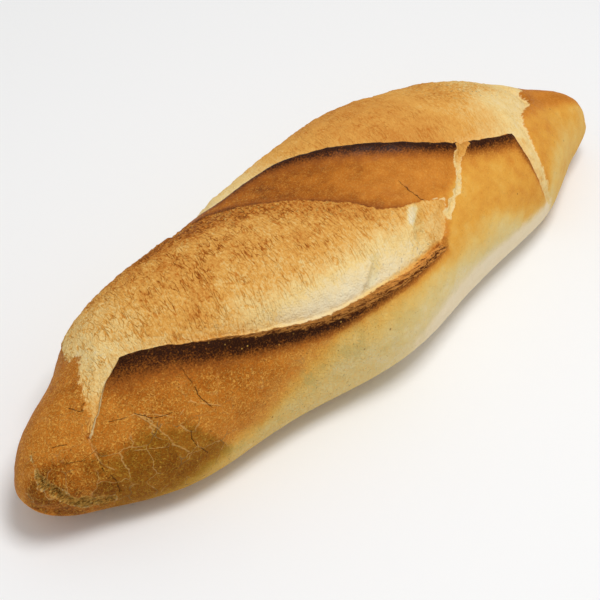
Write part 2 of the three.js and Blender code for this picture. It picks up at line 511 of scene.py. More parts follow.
@dataclass(frozen=True)
class Opening:
    """A slash torn open by the oven: a closed outline of runs, lip first, with a swelling crumb inside."""

    runs: tuple[Run, ...]
    pillow_rise: float = 2.4
    pillow_reach: float = 14.0
    step_half_width: float = 1.2
    step_fade: float = 9.0
    ear_crest: float = 3.0
    browned_reach: float = 1.5
    char_inner: float = 0.0
    blended: tuple[str, ...] = ("step", "ear", "rim", "soft", "toast", "pale")

    def inside(self, x: Array, angle: Array) -> Array:
        """Whether places lie inside the outline, by counting the sides that a ray along x crosses.

        Args:
            x: places along the loaf.
            angle: places round it.

        Returns:
            N truth values.
        """
        outline = np.vstack([run.places()[:-1, :2] for run in self.runs])
        within = np.zeros(len(x), bool)
        for (x0, a0), (x1, a1) in zip(outline, np.roll(outline, -1, axis=0)):
            crosses = (a0 > angle) != (a1 > angle)
            rise = a1 - a0 if a1 != a0 else TINY
            within ^= crosses & (x < x0 + (angle - a0) * (x1 - x0) / rise)
        return within

    def measure(self, body: Body, x: Array, angle: Array, points: Array, ragged: Array) -> Edge:
        """Signed depth inside the outline, made ragged, and the values of the nearest run.

        Args:
            body: the body that the outline lies on.
            x: places along the loaf.
            angle: places round it.
            points: the body's points there.
            ragged: noise that the edge wanders by.

        Returns:
            The measured edge.
        """
        found = [run.nearest(body, points) for run in self.runs]
        distances = np.stack([distance for distance, _ in found])
        nearest = distances.argmin(0)
        sign = np.where(self.inside(x, angle), 1.0, -1.0)

        def from_run(name: str) -> Array:
            """Value of the nearest run at its nearest place."""
            values = [three_point(getattr(run, name), share) for run, (_, share) in zip(self.runs, found)]
            return np.take_along_axis(np.stack(values), nearest[None], 0)[0]

        burns = [run.burn(distance, share, 1.0) for run, (distance, share) in zip(self.runs, found)]
        browns = [run.burn(*place, self.browned_reach) for run, place in zip(self.runs, found)]
        named = {name: from_run(name) for name in self.blended}
        named["burn"], named["browned"] = (np.maximum.reduce(shares) for shares in (burns, browns))
        depth = sign * distances.min(0) + ragged * from_run("wander")
        return Edge(depth=depth, lip_distance=distances[0], char_inner=self.char_inner, **named)

    def relief(self, edge: Edge) -> Array:
        """Height across the edge: the crumb steps down and swells inside, the crust's rim curls up outside.

        Args:
            edge: the measured edge.

        Returns:
            Heights along the normal.
        """
        within = np.maximum(edge.depth, 0)
        beyond = np.maximum(-edge.depth, 0) / self.ear_crest
        share = (edge.depth + self.step_half_width) / (2 * self.step_half_width)
        drop = edge.step * smoothstep(share) * np.exp(-within / self.step_fade)
        swell = self.pillow_rise * (1 - bell(within, self.pillow_reach))
        return swell - drop + edge.ear * beyond * np.exp(1 - beyond)


@dataclass(frozen=True)
class Groove:
    """A furrow torn or cracked in the surface, with half width and depth at its start, middle and end."""

    path: tuple[Pair, ...]
    half: Triple
    depth: Triple
    wander: float = 0.5

    def measure(self, body: Body, points: Array, ragged: Array) -> tuple[Array, Array]:
        """Depth inside the furrow's edges, and the furrow's round-bottomed drop.

        Args:
            body: the body that the furrow lies on.
            points: the body's points.
            ragged: noise that the furrow's edges wander by.

        Returns:
            Signed depth inside its edges, and its drop along the normal.
        """
        distance, share = Run(self.path).nearest(body, points)
        half = three_point(self.half, share)
        inside = half - distance + ragged * self.wander
        return inside, three_point(self.depth, share) * smoothstep(inside / half)


@dataclass(frozen=True)
class Hairlines:
    """Fine lines of the crust along paths of (x, angle)."""

    paths: tuple[tuple[Pair, ...], ...]
    reach: float = 1.8

    def measure(self, x: Array, angle: Array) -> Array:
        """Signed distance across the nearest straight piece, in x and girth, and its bell curve.

        Args:
            x: places along the loaf.
            angle: places round it.

        Returns:
            N rows of the signed distance, the bell curve of the distance to the piece, and zero.
        """
        place = np.stack([x, angle * GIRTH_PER_DEGREE], 1)
        distance = np.full(len(x), np.inf)
        across = np.zeros(len(x))
        for path in self.paths:
            knots = np.array(path, float) * (1.0, GIRTH_PER_DEGREE)
            for start, end in zip(knots[:-1], knots[1:]):
                side, beside = end - start, place - start
                along = np.clip(beside @ side / (side @ side), 0, 1)
                apart = np.linalg.norm(beside - along[:, None] * side, axis=1)
                signed = (side[0] * beside[:, 1] - side[1] * beside[:, 0]) / np.linalg.norm(side)
                across = np.where(apart < distance, signed, across)
                distance = np.minimum(apart, distance)
        return np.stack([across, bell(distance, self.reach), np.zeros(len(x))], 1)


NEAR_LIP = ((-115, 90), (-88, 66), (-61, 48.5), (-35, 39.5), (-4, 39), (37, 34.5))
FAR_LIP = ((-36, 152), (-20, 136), (5, 129), (19, 120.5), (33, 108), (56, 86.5), (80, 71), (117, 60.5))


@dataclass(frozen=True)
class NearOpening(Opening):
    """The slash nearer the front: its lip, seam end, strip-side rim, back, cap side and wedge."""

    runs: tuple[Run, ...] = (
        Run(
            NEAR_LIP,
            step=(2, 3.2, 1.2),
            ear=(0.6, 3.4, 0.4),
            char=(1.0, 1.15, 0.3),
            rim=(0.5, 2.9, 3.6),
            scorch=(13.5, 6, 1.6),
            wander=(0.4, 0.9, 0.8),
            soft=(0.8, 0.8, 0.8),
            toast=(0, 0, 0.5),
        ),
        Run(
            ((37, 34.5), (48, 43), (52.5, 50.5)),
            step=(1.2, 1, 0.6),
            ear=(0.4, 0, 0),
            rim=(1.2, 0.3, 0.3),
            soft=(1, 2, 2),
            pale=(0, 0.5, 0.7),
        ),
        Run(
            ((52.5, 50.5), (40.5, 56.5), (24, 66), (12, 83.5), (-7, 106.5), (-33, 136)),
            step=(0.6, -0.6, 0.8),
            # Its char, and the browning that it spreads, are painted shade: a dark line of shadow along the
            # strip's edge beside the crumb.
            char=(0, 0.5, 0.6),
            scorch=(1, 1.8, 3),
            wander=(1.2, 1.4, 1.2),
            soft=(1, 2, 2),
            toast=(-0.4, 0.4, 1),
            pale=(1, -0.2, 0),
        ),
        Run(
            ((-33, 136), (-42, 154), (-75, 158), (-118, 147)),
            step=(0.8, -0.6, -1.4),
            wander=(1.5, 2, 2),
            soft=(2, 3, 3),
            toast=(1, 0.8, 0.2),
        ),
        Run(
            ((-118, 147), (-124, 128), (-124, 117), (-130, 106), (-134.5, 92), (-139.5, 77), (-145.5, 63)),
            step=(-1.4, 0.4, 0.8),
            wander=(2, 2, 1),
            soft=(2, 4, 3),
        ),
        Run(
            ((-145.5, 63), (-136.5, 75), (-128, 85), (-115, 90)),
            step=(0.8, 2.2, 2),
            ear=(0, 0.8, 0.6),
            char=(0.7, 0.9, 0.3),
            scorch=(0.4, 0.5, 0.4),
            wander=(0.8, 0.8, 0.4),
            soft=(0.7, 0.7, 0.7),
            pale=(1, 0.9, 0),
        ),
    )


@dataclass(frozen=True)
class FarOpening(Opening):
    """The slash nearer the back: its lip, the edge down the panel, the knob side and the back."""

    runs: tuple[Run, ...] = (
        Run(
            FAR_LIP,
            step=(1, 3.2, 2.2),
            ear=(0.3, 3.4, 2),
            char=(0.3, 1.3, 1.0),
            rim=(0.3, 0.6, 0.6),
            scorch=(4, 7, 6.5),
            wander=(0.6, 0.6, 0.8),
            soft=(0.8, 0.8, 0.8),
        ),
        Run(
            ((117, 60.5), (115.5, 38), (118.5, 13), (125, -10)),
            step=(2.2, 1.7, 0.5),
            ear=(2, 1, 0),
            char=(1, 0.5, 0.1),
            scorch=(6.5, 2, 1.5),
            wander=(0.8, 0.8, 0.8),
        ),
        Run(
            ((125, -10), (123.5, 25), (126.5, 50), (135, 68), (149, 77), (154, 97)),
            step=(0.5, 1.5, 3),
            soft=(2, 2, 2),
        ),
        Run(
            ((154, 97), (152, 118), (143, 140), (110, 158), (62, 164), (-10, 166), (-36, 152)),
            step=(3, 1.2, 1),
            wander=(2, 2, 2),
            soft=(3, 3, 3),
            toast=(0, 0.3, 0),
        ),
    )
    char_inner: float = -1.6


SEAM = Groove(
    ((49, 43.5), (59, 48.5), (66, 52), (70.5, 57.5), (76, 62.5), (85, 68)),
    half=(2.6, 1.8, 2.8),
    depth=(1.4, 1.6, 1.4),
    wander=1.7,
)
NOSE_TEAR = Groove(
    ((-165.5, 104), (-168.5, 60), (-165, 27), (-160, 4), (-147, -11)),
    half=(0.6, 3.2, 3.4),
    depth=(0.6, 2.2, 1.4),
    wander=1.8,
)
CRACKS = (
    Groove(((-145.5, 63), (-147, 36), (-143, 0)), (1, 0.8, 0.5), (0.9, 0.9, 0.5), 0.9),
    Groove(((-145.6, 24), (-144, 13), (-143.4, 0)), (0.2, 0.6, 0.2), (0.3, 0.8, 0.3), 0.4),
    Groove(((40.7, 69), (41, 63), (42.5, 57)), (0.2, 0.5, 0.3), (0.3, 0.5, 0.3), 0.3),
)
CREASES = (
    Groove(((3, 52), (-4, 45), (-12, 39)), (1.2, 3.0, 1.6), (0.5, 1.5, 0.5), 2.2),
    Groove(((39.8, 57), (32, 50), (27, 44)), (1.2, 3.0, 1.6), (0.5, 1.5, 0.5), 2.2),
)
DARK_LINES = Hairlines((
    ((-145.6, 24), (-144, 13), (-143.4, 0)),
    ((-147.2, 38), (-147.6, 30), (-146.8, 21)),
    ((-142, 94), (-140.4, 84), (-138, 87)),
    ((-160, 84), (-156, 76), (-152.3, 68)),
    ((-157.4, 55), (-153, 49), (-147.8, 49)),
    ((-135.1, 62.3), (-130, 58.3)),
    ((-126, 56), (-122, 47), (-119, 44.5), (-116, 43)),
    ((-111.4, 25), (-111.8, 20), (-110.6, 14.2), (-106.7, 4)),
    ((-101, 57.8), (-101.5, 41), (-99.5, 33.2)),
    ((40.7, 69), (41, 63), (42.5, 57)),
))
PALE_LINES = Hairlines((
    ((-145.5, 63), (-147, 50), (-147.2, 38), (-144, 28)),
    ((-126, 56), (-121, 33), (-119, 22.5), (-115, 13)),
    ((-130, 58.3), (-126, 56), (-113.7, 38), (-106, 42), (-96, 30)),
    ((-133, 34), (-124, 26), (-119, 22.5)),
))
KNOB_TEAR = Groove(((149, 98), (154, 112), (152, 126), (146, 140)), (3, 7, 7), (0, 0, 0), wander=1.5)
WHITE_FOLD = Groove(((38, 59), (33, 55.5), (29, 53)), half=(2, 3.4, 2), depth=(0, 0, 0), wander=1.4)


@dataclass(frozen=True)
class Places:
    """The grid's places, a row for each: x and angle, the body's point and the fibres' coordinates."""

    x: Array
    angle: Array
    points: Array
    fibre: Array


@dataclass(frozen=True)
class Measured:
    """What each place measures: both openings' edges, depth inside each furrow, and the furrows' drop."""

    near: Edge
    far: Edge
    seam: Array
    nose: Array
    white_fold: Array
    knob_tear: Array
    creases: tuple[Array, ...]
    drop: Array

    def torn_depth(self) -> Array:
        """Depth inside whichever of the openings, the seam and the nose tear is deepest there."""
        return np.maximum.reduce([self.near.depth, self.far.depth, self.seam, self.nose])

    def in_near(self) -> Array:
        """Whether a place belongs to the near opening rather than the far one."""
        return self.near.depth > self.far.depth


@dataclass(frozen=True)
class CrustBake:
    """How far the crust was baked: 0 is floury white, 0.5 golden, 0.8 brown and 1 deep brown; the low near
    end also gets painted shade.
    """

    # Levels along the loaf, and where each holds
    front: Curve = Curve((
        (-175, 0.78), (-140, 0.79), (-100, 0.8), (-60, 0.76), (-30, 0.64),
        (0, 0.54), (40, 0.52), (115, 0.6), (150, 0.58), (187, 0.42),
    ))
    strip: Curve = Curve(((-60, 0.8), (-5, 0.88), (20, 0.86), (45, 0.76), (80, 0.66)))
    strip_side: Fade = Fade(48.0, 8.0)
    strip_start: Fade = Fade(-90.0, 20.0)
    strip_end: Fade = Fade(-2.0, 4.0)
    seam_start: Pair = (52.0, 45.5)
    seam_lean: float = 1.5
    back: Curve = Curve(((-175, 0.76), (-60, 0.82), (40, 0.66), (187, 0.56)))
    back_side: Fade = Fade(150.0, 15.0)
    knob_crown: float = 0.25
    knob_crown_side: Fade = Fade(55.0, 30.0)
    knob_start: Fade = Fade(125.0, 10.0)
    patchy: Rough = Rough(61, 26.0)
    patch_sway: float = 7.0

    # Pale low flanks
    pale: Curve = Curve((
        (-140, 0.58), (-110, 0.46), (-95, 0.36), (-80, 0.26), (-40, 0.23), (20, 0.12), (118, 0.12),
        (130, 0.3), (150, 0.42), (187, 0.45),
    ))
    pale_edge: Curve = Curve((
        (-150, -45), (-100, -14), (-70, 0), (-42, 14), (-28, 19), (-10, 22),
        (10, 22), (40, 17), (70, 14), (100, 6), (122, 0), (132, 24), (150, 30), (187, 18),
    ))
    pale_rise: Fade = Fade(-12.8, 32.0)

    # Painted shade of the low near end, partly its real olive-brown crust, and its cap, where the shade
    # deepens the bake
    shade_edge: Curve = Curve((
        (-175, 85), (-160, 80), (-150, 62), (-140, 51), (-130, 58), (-121, 59), (-115, 52),
        (-108, 42), (-97, 14), (-80, -14), (-60, -34),
    ))
    shade_drop: Fade = Fade(0.0, 26.0)
    shade_end: Fade = Fade(-30.0, -50.0)
    cap_start: Fade = Fade(-138.0, -22.0)
    cap_shade_deepening: float = 0.13
    cap_shade_kept: float = 0.5

    # Browning and gold by the lips
    browning: float = 0.14
    lip_gold: float = 0.66
    lip_gold_reach: float = 8.0

    # Thin translucent crust along the pale edge
    window_line: Stripe = Stripe(-4.0, 15.0)
    window_length: Stripe = Stripe(-48.0, 58.0)

    # Sole
    sole_rise: Fade = Fade(6.0, -6.0)
    sole_bake: float = 0.62
    sole_patch: float = 0.12
    sole_flour: float = 0.8

    # Gloss, flour and crazing
    gloss_side: Fade = Fade(52.0, 10.0)
    gloss_start: Fade = Fade(-70.0, 25.0)
    gloss_end: Fade = Fade(80.0, -30.0)
    flour_level: float = 0.95
    flour_start: Fade = Fade(-20.0, 50.0)
    flour_end: Fade = Fade(135.0, -15.0)
    flour_drop: Fade = Fade(14.0, -22.0)
    flour_back: Fade = Fade(120.0, 40.0)
    flour_back_loss: float = 0.6
    craze_least: float = 0.35
    craze_end: Fade = Fade(20.0, -80.0)

    def level(self, x: Array, angle: Array, patchy: Array) -> Array:
        """Bake level: of the front, strip or back, fading to pale below a wandering line on both flanks.

        Args:
            x: places along the loaf.
            angle: places round it.
            patchy: noise from -1 to 1 that moves the line.

        Returns:
            Bake levels.
        """
        seam = self.seam_start[0] + self.seam_lean * (angle - self.seam_start[1])
        on_strip = self.strip_side(angle) * self.strip_end(seam - x) * self.strip_start(x)
        level = self.front(x) + on_strip * (self.strip(x) - self.front(x))
        level = level + self.back_side(angle) * (self.back(x) - level)
        level = level + self.knob_crown * self.knob_crown_side(angle) * self.knob_start(x)
        low = np.minimum(angle, 180 - angle) + self.patch_sway * patchy
        return self.pale(x) + self.pale_rise(low - self.pale_edge(x)) * (level - self.pale(x))

    def shade(self, x: Array, angle: Array, patchy: Array) -> Array:
        """Painted shade of the low near end, with its olive-brown crust: an S-curve down the front flank
        times one along the loaf.

        Args:
            x: places along the loaf.
            angle: places round it.
            patchy: noise from -1 to 1 that moves it.

        Returns:
            Shares, 0 to 1.
        """
        drop = self.shade_edge(x) - angle - self.patch_sway * patchy
        return self.shade_drop(drop) * self.shade_end(x)

    def window(self, x: Array, angle: Array) -> Array:
        """Thin crust along the front's pale edge: a bell curve about it times one along the loaf."""
        return self.window_line(angle - self.pale_edge(x)) * self.window_length(x)

    def gloss(self, x: Array, angle: Array) -> Array:
        """Gloss of the strip: an S-curve up its side times one at each of its ends."""
        return self.gloss_side(angle) * self.gloss_start(x) * self.gloss_end(x)

    def flour(self, x: Array, angle: Array) -> Array:
        """Flour of the low flanks: S-curves along the loaf and down both flanks, thinner at the back.

        Args:
            x: places along the loaf.
            angle: places round it.

        Returns:
            Shares, 0 to 1.
        """
        along = self.flour_level * self.flour_start(x) * self.flour_end(x)
        kept = 1 - self.flour_back_loss * self.flour_back(angle)
        return along * self.flour_drop(np.minimum(angle, 180 - angle)) * kept

    def craze(self, x: Array) -> Array:
        """Crazing of the crust: full at the near end, falling to its least by an S-curve."""
        return self.craze_least + (1 - self.craze_least) * self.craze_end(x)

    def fields(self, places: Places, measured: Measured) -> dict[Field, Array]:
        """Fields of the crust: its bake level with sole, browning, the cap's painted shade and gold, and what
        lies on it.

        Args:
            places: the grid's places.
            measured: the openings and furrows there.

        Returns:
            Values by field.
        """
        x, angle = places.x, places.angle
        near, far = measured.near, measured.far
        patchy = self.patchy.at(places.points)
        on_sole = self.sole_rise(places.points[:, 2])
        on_cap = self.cap_start(x)
        shade = self.shade(x, angle, patchy) * (1 - on_sole)
        level = self.level(x, angle, patchy)
        level = level + on_sole * (self.sole_bake + self.sole_patch * patchy - level)
        level = level + self.browning * np.maximum(near.browned, far.browned)
        # Painted shade on the cap: a deeper bake where the low cap lies in shade.
        level = level + self.cap_shade_deepening * on_cap * shade
        return {
            Field.BAKE: np.maximum(level, self.lip_gold * near.gold_share(self.lip_gold_reach)),
            Field.SHADE: shade * (1 - (1 - self.cap_shade_kept) * on_cap),
            Field.WINDOW: self.window(x, angle),
            Field.GLOSS: self.gloss(x, angle),
            Field.CRAZE: self.craze(x),
            Field.FLOUR: np.maximum(self.flour(x, angle), self.sole_flour * on_sole),
        }


@dataclass(frozen=True)
class CrumbBake:
    """How far the torn crumb was baked: its tan goes from 0, pale, to 1, brown, and its toast from 0 to 1; it
    also carries painted shade by the near lip and in the folds.
    """

    # Tan of the near opening
    near_tan: Curve = Curve((
        (-145, 0.6), (-132, 0.4), (-122, 0.28), (-112, 0.35), (-80, 0.61), (-40, 0.58),
        (0, 0.55), (30, 0.54), (52, 0.54),
    ))
    near_white: Curve = Curve((
        (-110, 0), (-80, 0.1), (-55, 0.42), (-25, 0.66), (5, 0.58), (25, 0.42), (36, 0.16),
    ))
    white_reach: float = 17.0
    white_smoothing: float = 1.4
    # Painted shade: a darker tan in a narrow band at the foot of the near lip.
    lip_shade_tan: Curve = Curve(((-60, 0), (-35, 0.14), (-10, 0.36), (37, 0.42)))
    lip_shade_reach: float = 1.9
    fold_white: float = 0.45
    fold_side: Fade = Fade(0.0, 2.0)

    # Tan of the far opening and the seam
    far_tan: Curve = Curve((
        (-36, 0.22), (0, 0.3), (30, 0.56), (70, 0.65), (95, 0.53), (113, 0.42), (125, 0.25), (142, 0.25),
    ))
    far_white: float = 0.12
    far_white_reach: float = 5.0
    seam_tan: Curve = Curve(((50, 0.28), (66, 0.25), (74, 0.4), (80, 0.56), (85, 0.7)))
    seam_side: Fade = Fade(-0.75, 1.5)

    # Toast
    back_toast: Curve = Curve(((-115, 0.1), (-92, 0.35), (-65, 0.85), (-35, 1), (-15, 1), (5, 0.5)))
    back_toast_start: Curve = Curve(((-115, 122), (-64, 115), (-42, 106), (-15, 98)))
    back_toast_rise: Fade = Fade(0.0, 15.0)
    knob_toast: Curve = Curve(((92, 0), (108, 0.6), (126, 0.8), (138, 0.6), (147, 0)))
    knob_toast_rise: Fade = Fade(84.0, 16.0)
    toast_side: Fade = Fade(-1.8, 1.5)

    # Drawn-out fibres, painted shade in the folds, cream edges and sponge
    torn_side: Fade = Fade(0.0, 2.5)
    near_drawn: Curve = Curve(((-145, 0.9), (-115, 0.9), (-60, 1), (-10, 0.9), (25, 0.7), (52, 0.5)))
    far_drawn: float = 0.4
    seam_shade: float = 0.9
    seam_shade_side: Fade = Fade(0.6, 1.2)
    seam_pale: float = 0.7
    seam_pale_line: Stripe = Stripe(0.2, 0.6)
    seam_pale_end: Fade = Fade(88.0, -16.0)
    nose_pale: float = 0.55
    nose_pale_line: Stripe = Stripe(0.3, 0.6)
    sponge_side: Fade = Fade(-0.48, 1.2)

    def in_crumb(self, measured: Measured) -> Array:
        """Share of crumb rather than crust: an S-curve of the depth inside the tears."""
        return self.torn_side(measured.torn_depth())

    def lip_white(self, x: Array, near: Edge) -> Array:
        """White of the crumb behind the near lip: its level times a bell curve of the distance to the lip."""
        return self.near_white(x) * bell(near.lip_distance, self.white_reach)

    def tan(self, x: Array, measured: Measured) -> Array:
        """Tan level: each opening's along the loaf, whiter by its lip and darker at its foot by painted
        shade, then the seam's and the white fold.

        Args:
            x: places along the loaf.
            measured: the openings and furrows there.

        Returns:
            Tan levels.
        """
        near, far = measured.near, measured.far
        near_tan = self.near_tan(x) - self.lip_white(x, near)
        # Painted shade along the near lip's foot.
        near_tan = near_tan + self.lip_shade_tan(x) * bell(near.lip_distance, self.lip_shade_reach)
        far_tan = self.far_tan(x) - self.far_white * bell(far.lip_distance, self.far_white_reach)
        level = np.where(measured.in_near(), near_tan, far_tan)
        level = level + self.seam_side(measured.seam) * (self.seam_tan(x) - level)
        return level - self.fold_white * self.fold_side(measured.white_fold) * self.in_crumb(measured)

    def toast(self, places: Places, measured: Measured) -> Array:
        """Toast: the larger of a band beside the edge and an S-curve towards the opening's back.

        Args:
            places: the grid's places.
            measured: the openings and furrows there.

        Returns:
            Shares, 0 to 1.
        """
        x, angle = places.x, places.angle
        behind = self.back_toast(x) * self.back_toast_rise(angle - self.back_toast_start(x))
        by_knob = self.knob_toast(x) * self.knob_toast_rise(angle)
        near = np.maximum(measured.near.toast_share(), behind)
        far = np.maximum(measured.far.toast_share(), by_knob)
        return np.where(measured.in_near(), near, far) * self.toast_side(measured.torn_depth())

    def drawn(self, x: Array, measured: Measured) -> Array:
        """How far the crumb is drawn out in fibres: less where it is white behind the near lip."""
        near_drawn = self.near_drawn(x) * (1 - self.white_smoothing * self.lip_white(x, measured.near))
        return np.where(measured.in_near(), near_drawn, self.far_drawn)

    def fold(self, measured: Measured) -> Array:
        """Painted shade in the crumb's folds: the largest S-curve of the depth inside the creases and the
        seam.
        """
        folds = [smoothstep(crease) for crease in measured.creases]
        return np.maximum.reduce([*folds, self.seam_shade * self.seam_shade_side(measured.seam)])

    def cream(self, x: Array, measured: Measured) -> Array:
        """Cream lines of the torn edges: the largest of the openings', the seam's and the nose tear's.

        Args:
            x: places along the loaf.
            measured: the openings and furrows there.

        Returns:
            Shares, 0 to 1.
        """
        seam = self.seam_pale * self.seam_pale_line(measured.seam) * self.seam_pale_end(x)
        nose = self.nose_pale * self.nose_pale_line(measured.nose)
        edges = [measured.near.pale_share(), measured.far.pale_share(), seam, nose]
        return np.clip(np.maximum.reduce(edges), 0, 1)

    def fields(self, places: Places, measured: Measured) -> dict[Field, Array]:
        """Fields of the crumb, each by its own formula.

        Args:
            places: the grid's places.
            measured: the openings and furrows there.

        Returns:
            Values by field.
        """
        return {
            Field.TAN: self.tan(places.x, measured),
            Field.TOAST: self.toast(places, measured),
            Field.DRAWN: self.drawn(places.x, measured),
            Field.FOLD: self.in_crumb(measured) * self.fold(measured),
            Field.EDGE: self.cream(places.x, measured),
            Field.SPONGE: self.sponge_side(measured.nose),
        }


@dataclass(frozen=True)
class Skin:
    """The worked-out surface: vertex rings between two poles, and the fields that the finish reads."""

    rings: Array
    poles: Array
    fields: Mapping[Field, Array]


Link = Union[float, Sequence[float], "Value"]


class Value:
    """A shader value: wraps an output socket, and arithmetic on it adds Math nodes."""

    def __init__(self, kit: "NodeKit", socket: bpy.types.NodeSocket) -> None:
        self.kit = kit
        self.socket = socket

    def __add__(self, other: Link) -> "Value":
        """Sum."""
        return self.kit.math("ADD", self, other)

    def __radd__(self, other: Link) -> "Value":
        """Sum, reflected."""
        return self.kit.math("ADD", other, self)

    def __sub__(self, other: Link) -> "Value":
        """Difference."""
        return self.kit.math("SUBTRACT", self, other)

    def __rsub__(self, other: Link) -> "Value":
        """Difference, reflected."""
        return self.kit.math("SUBTRACT", other, self)

    def __mul__(self, other: Link) -> "Value":
        """Product."""
        return self.kit.math("MULTIPLY", self, other)

    def __rmul__(self, other: Link) -> "Value":
        """Product, reflected."""
        return self.kit.math("MULTIPLY", other, self)

    def __abs__(self) -> "Value":
        """The value without its sign."""
        return self.kit.math("ABSOLUTE", self, 0.0)


@dataclass(frozen=True)
class Noise:
    """One noise of a finish: size of its features, how much detail they have and how far they wind."""

    size: Size
    detail: float = 2.0
    bend: float = 0.0


@dataclass(frozen=True)
class Patches:
    """Patches of a finish: an S-curve of a noise between two of its values."""

    noise: Noise
    band: Pair


@dataclass(frozen=True)
class Dots:
    """Scattered dots of a finish: spacing, share of places with one, and where a dot fades and ends."""

    spacing: float
    common: float
    width: Pair
    pick_fade: float = 0.3


@dataclass(frozen=True)
class Mark:
    """A mark laid over a surface: its colour, its share where it is full, and its height in millimetres."""

    colour: Colour
    share: float = 1.0
    height: float = 0.0


class NodeKit:
    """Adds nodes to one material's tree."""

    noise_middle: float = 0.5
    noise_spread: float = 4.0

    def __init__(self, material: bpy.types.Material) -> None:
        """Empties the material's tree, ready for new nodes.

        Args:
            material: the material to fill.
        """
        material.use_nodes = True
        self.tree = material.node_tree
        self.tree.nodes.clear()

    def add(
        self,
        kind: str,
        settings: Optional[Mapping[str, Any]] = None,
        sockets: Optional[Mapping[Union[str, int], Link]] = None,
    ) -> bpy.types.Node:
        """Adds a node, sets it, then fills or links its sockets.

        Args:
            kind: the node's type.
            settings: its properties by name; stops are a ramp's places and colours.
            sockets: values or links by socket name or number.

        Returns:
            The node.
        """
        node = self.tree.nodes.new(kind)
        for name, setting in (settings or {}).items():
            if name == "stops":
                self._set_stops(node, setting)
            else:
                setattr(node, name, setting)
        for name, link in (sockets or {}).items():
            if isinstance(link, Value):
                self.tree.links.new(link.socket, node.inputs[name])
            else:
                node.inputs[name].default_value = link
        return node

    @staticmethod
    def _set_stops(node: bpy.types.Node, stops: Stops) -> None:
        """Puts a ramp's stops in order; a new ramp has two of them already.

        Args:
            node: the ramp.
            stops: places and colours.
        """
        elements = node.color_ramp.elements
        while len(elements) < len(stops):
            elements.new(1.0)
        for element, (place, colour) in zip(elements, stops):
            element.position = place
            element.color = colour

    def out(self, node: bpy.types.Node, name: Union[str, int] = 0) -> Value:
        """One output of a node as a value."""
        return Value(self, node.outputs[name])

    def math(self, operation: str, first: Link, second: Link) -> Value:
        """One Math node on two values."""
        return self.out(self.add("ShaderNodeMath", {"operation": operation}, {0: first, 1: second}))

    def vector(self, operation: str, first: Link, second: Link) -> Value:
        """One Vector Math node on two vectors."""
        return self.out(self.add("ShaderNodeVectorMath", {"operation": operation}, {0: first, 1: second}))

    def mix(self, share: Link, first: Link, second: Link, blend: str = "MIX") -> Value:
        """Colour from the first towards its blend with the second, by a share."""
        settings = {"data_type": "RGBA", "blend_type": blend}
        return self.out(self.add("ShaderNodeMix", settings, {0: share, 6: first, 7: second}), 2)

    def smooth(self, value: Value, band: Pair) -> Value:
        """S-curve of a value from 0 at the band's low end to 1 at its high end.

        Args:
            value: the value.
            band: low and high end.

        Returns:
            The curve, 0 to 1.
        """
        low, high = band
        settings = {"interpolation_type": "SMOOTHSTEP"}
        sockets = {"Value": value, "From Min": low, "From Max": high, "To Min": 0.0, "To Max": 1.0}
        return self.out(self.add("ShaderNodeMapRange", settings, sockets))

    def attribute(self, name: Field) -> Value:
        """A vertex attribute as a number."""
        return self.out(self.add("ShaderNodeAttribute", {"attribute_name": name.value}), "Fac")

    def attribute_vector(self, name: Field) -> Value:
        """A vertex attribute as a vector."""
        return self.out(self.add("ShaderNodeAttribute", {"attribute_name": name.value}), "Vector")

    def ramp(self, value: Value, stops: Stops) -> Value:
        """Colour read from a ramp of stops."""
        return self.out(self.add("ShaderNodeValToRGB", {"stops": stops}, {"Fac": value}))

    def noise_node(self, place: Value, noise: Noise) -> bpy.types.Node:
        """Noise node with features of the noise's size.

        Args:
            place: coordinates in millimetres.
            noise: the noise.

        Returns:
            The node.
        """
        scale = (noise.size,) * 3 if isinstance(noise.size, (int, float)) else noise.size
        scaled = self.vector("DIVIDE", place, scale)
        sockets = {"Vector": scaled, "Scale": 1.0, "Detail": noise.detail, "Distortion": noise.bend}
        return self.add("ShaderNodeTexNoise", {}, sockets)

    def noise(self, place: Value, noise: Noise) -> Value:
        """Noise about 0, mostly from -1 to 1."""
        return self.noise_spread * (self.out(self.noise_node(place, noise), "Fac") - self.noise_middle)

    def patches(self, place: Value, patches: Patches) -> Value:
        """Patches, 0 to 1: an S-curve of their noise."""
        return self.smooth(self.noise(place, patches.noise), patches.band)

    def cells(self, place: Value, size: float, feature: str = "F1") -> bpy.types.Node:
        """Voronoi cells of about one size across."""
        sockets = {"Vector": place, "Scale": 1.0 / size}
        return self.add("ShaderNodeTexVoronoi", {"feature": feature}, sockets)

    def pick(self, cells: bpy.types.Node) -> Value:
        """Number from 0 to 1 for each Voronoi cell: the red of its colour."""
        return self.out(self.add("ShaderNodeSeparateColor", {}, {"Color": self.out(cells, "Color")}))

    def dots(self, place: Value, dots: Dots) -> Value:
        """Dots in a share of Voronoi cells: 1 at a cell's heart, falling by an S-curve over its width.

        Args:
            place: coordinates in millimetres.
            dots: the dots.

        Returns:
            The dots, 0 to 1.
        """
        cells = self.cells(place, dots.spacing)
        rare = 1.0 - dots.common
        chosen = self.smooth(self.pick(cells), (rare, rare + dots.pick_fade))
        return chosen * (1.0 - self.smooth(self.out(cells, "Distance"), dots.width))


class Coat:
    """A surface in the making: its colour and height, as marks are laid over it one by one."""

    def __init__(self, kit: NodeKit, colour: Value, height: Value) -> None:
        """Starts from a plain surface.

        Args:
            kit: adds the nodes.
            colour: the colour before any mark.
            height: the height before any mark, in millimetres.
        """
        self.kit = kit
        self.colour = colour
        self.height = height

    def lay(self, mark: Mark, where: Value) -> None:
        """Lays a mark: mixes its colour in by its share, and adds its height.

        Args:
            mark: the mark.
            where: how full it is, 0 to 1.
        """
        self.colour = self.kit.mix(mark.share * where, self.colour, mark.colour)
        if mark.height:
            self.height = self.height + mark.height * where

    def tint(self, factor: Colour, where: Value) -> None:
        """Multiplies the colour by a factor colour, by a share."""
        self.colour = self.kit.mix(where, self.colour, factor, "MULTIPLY")


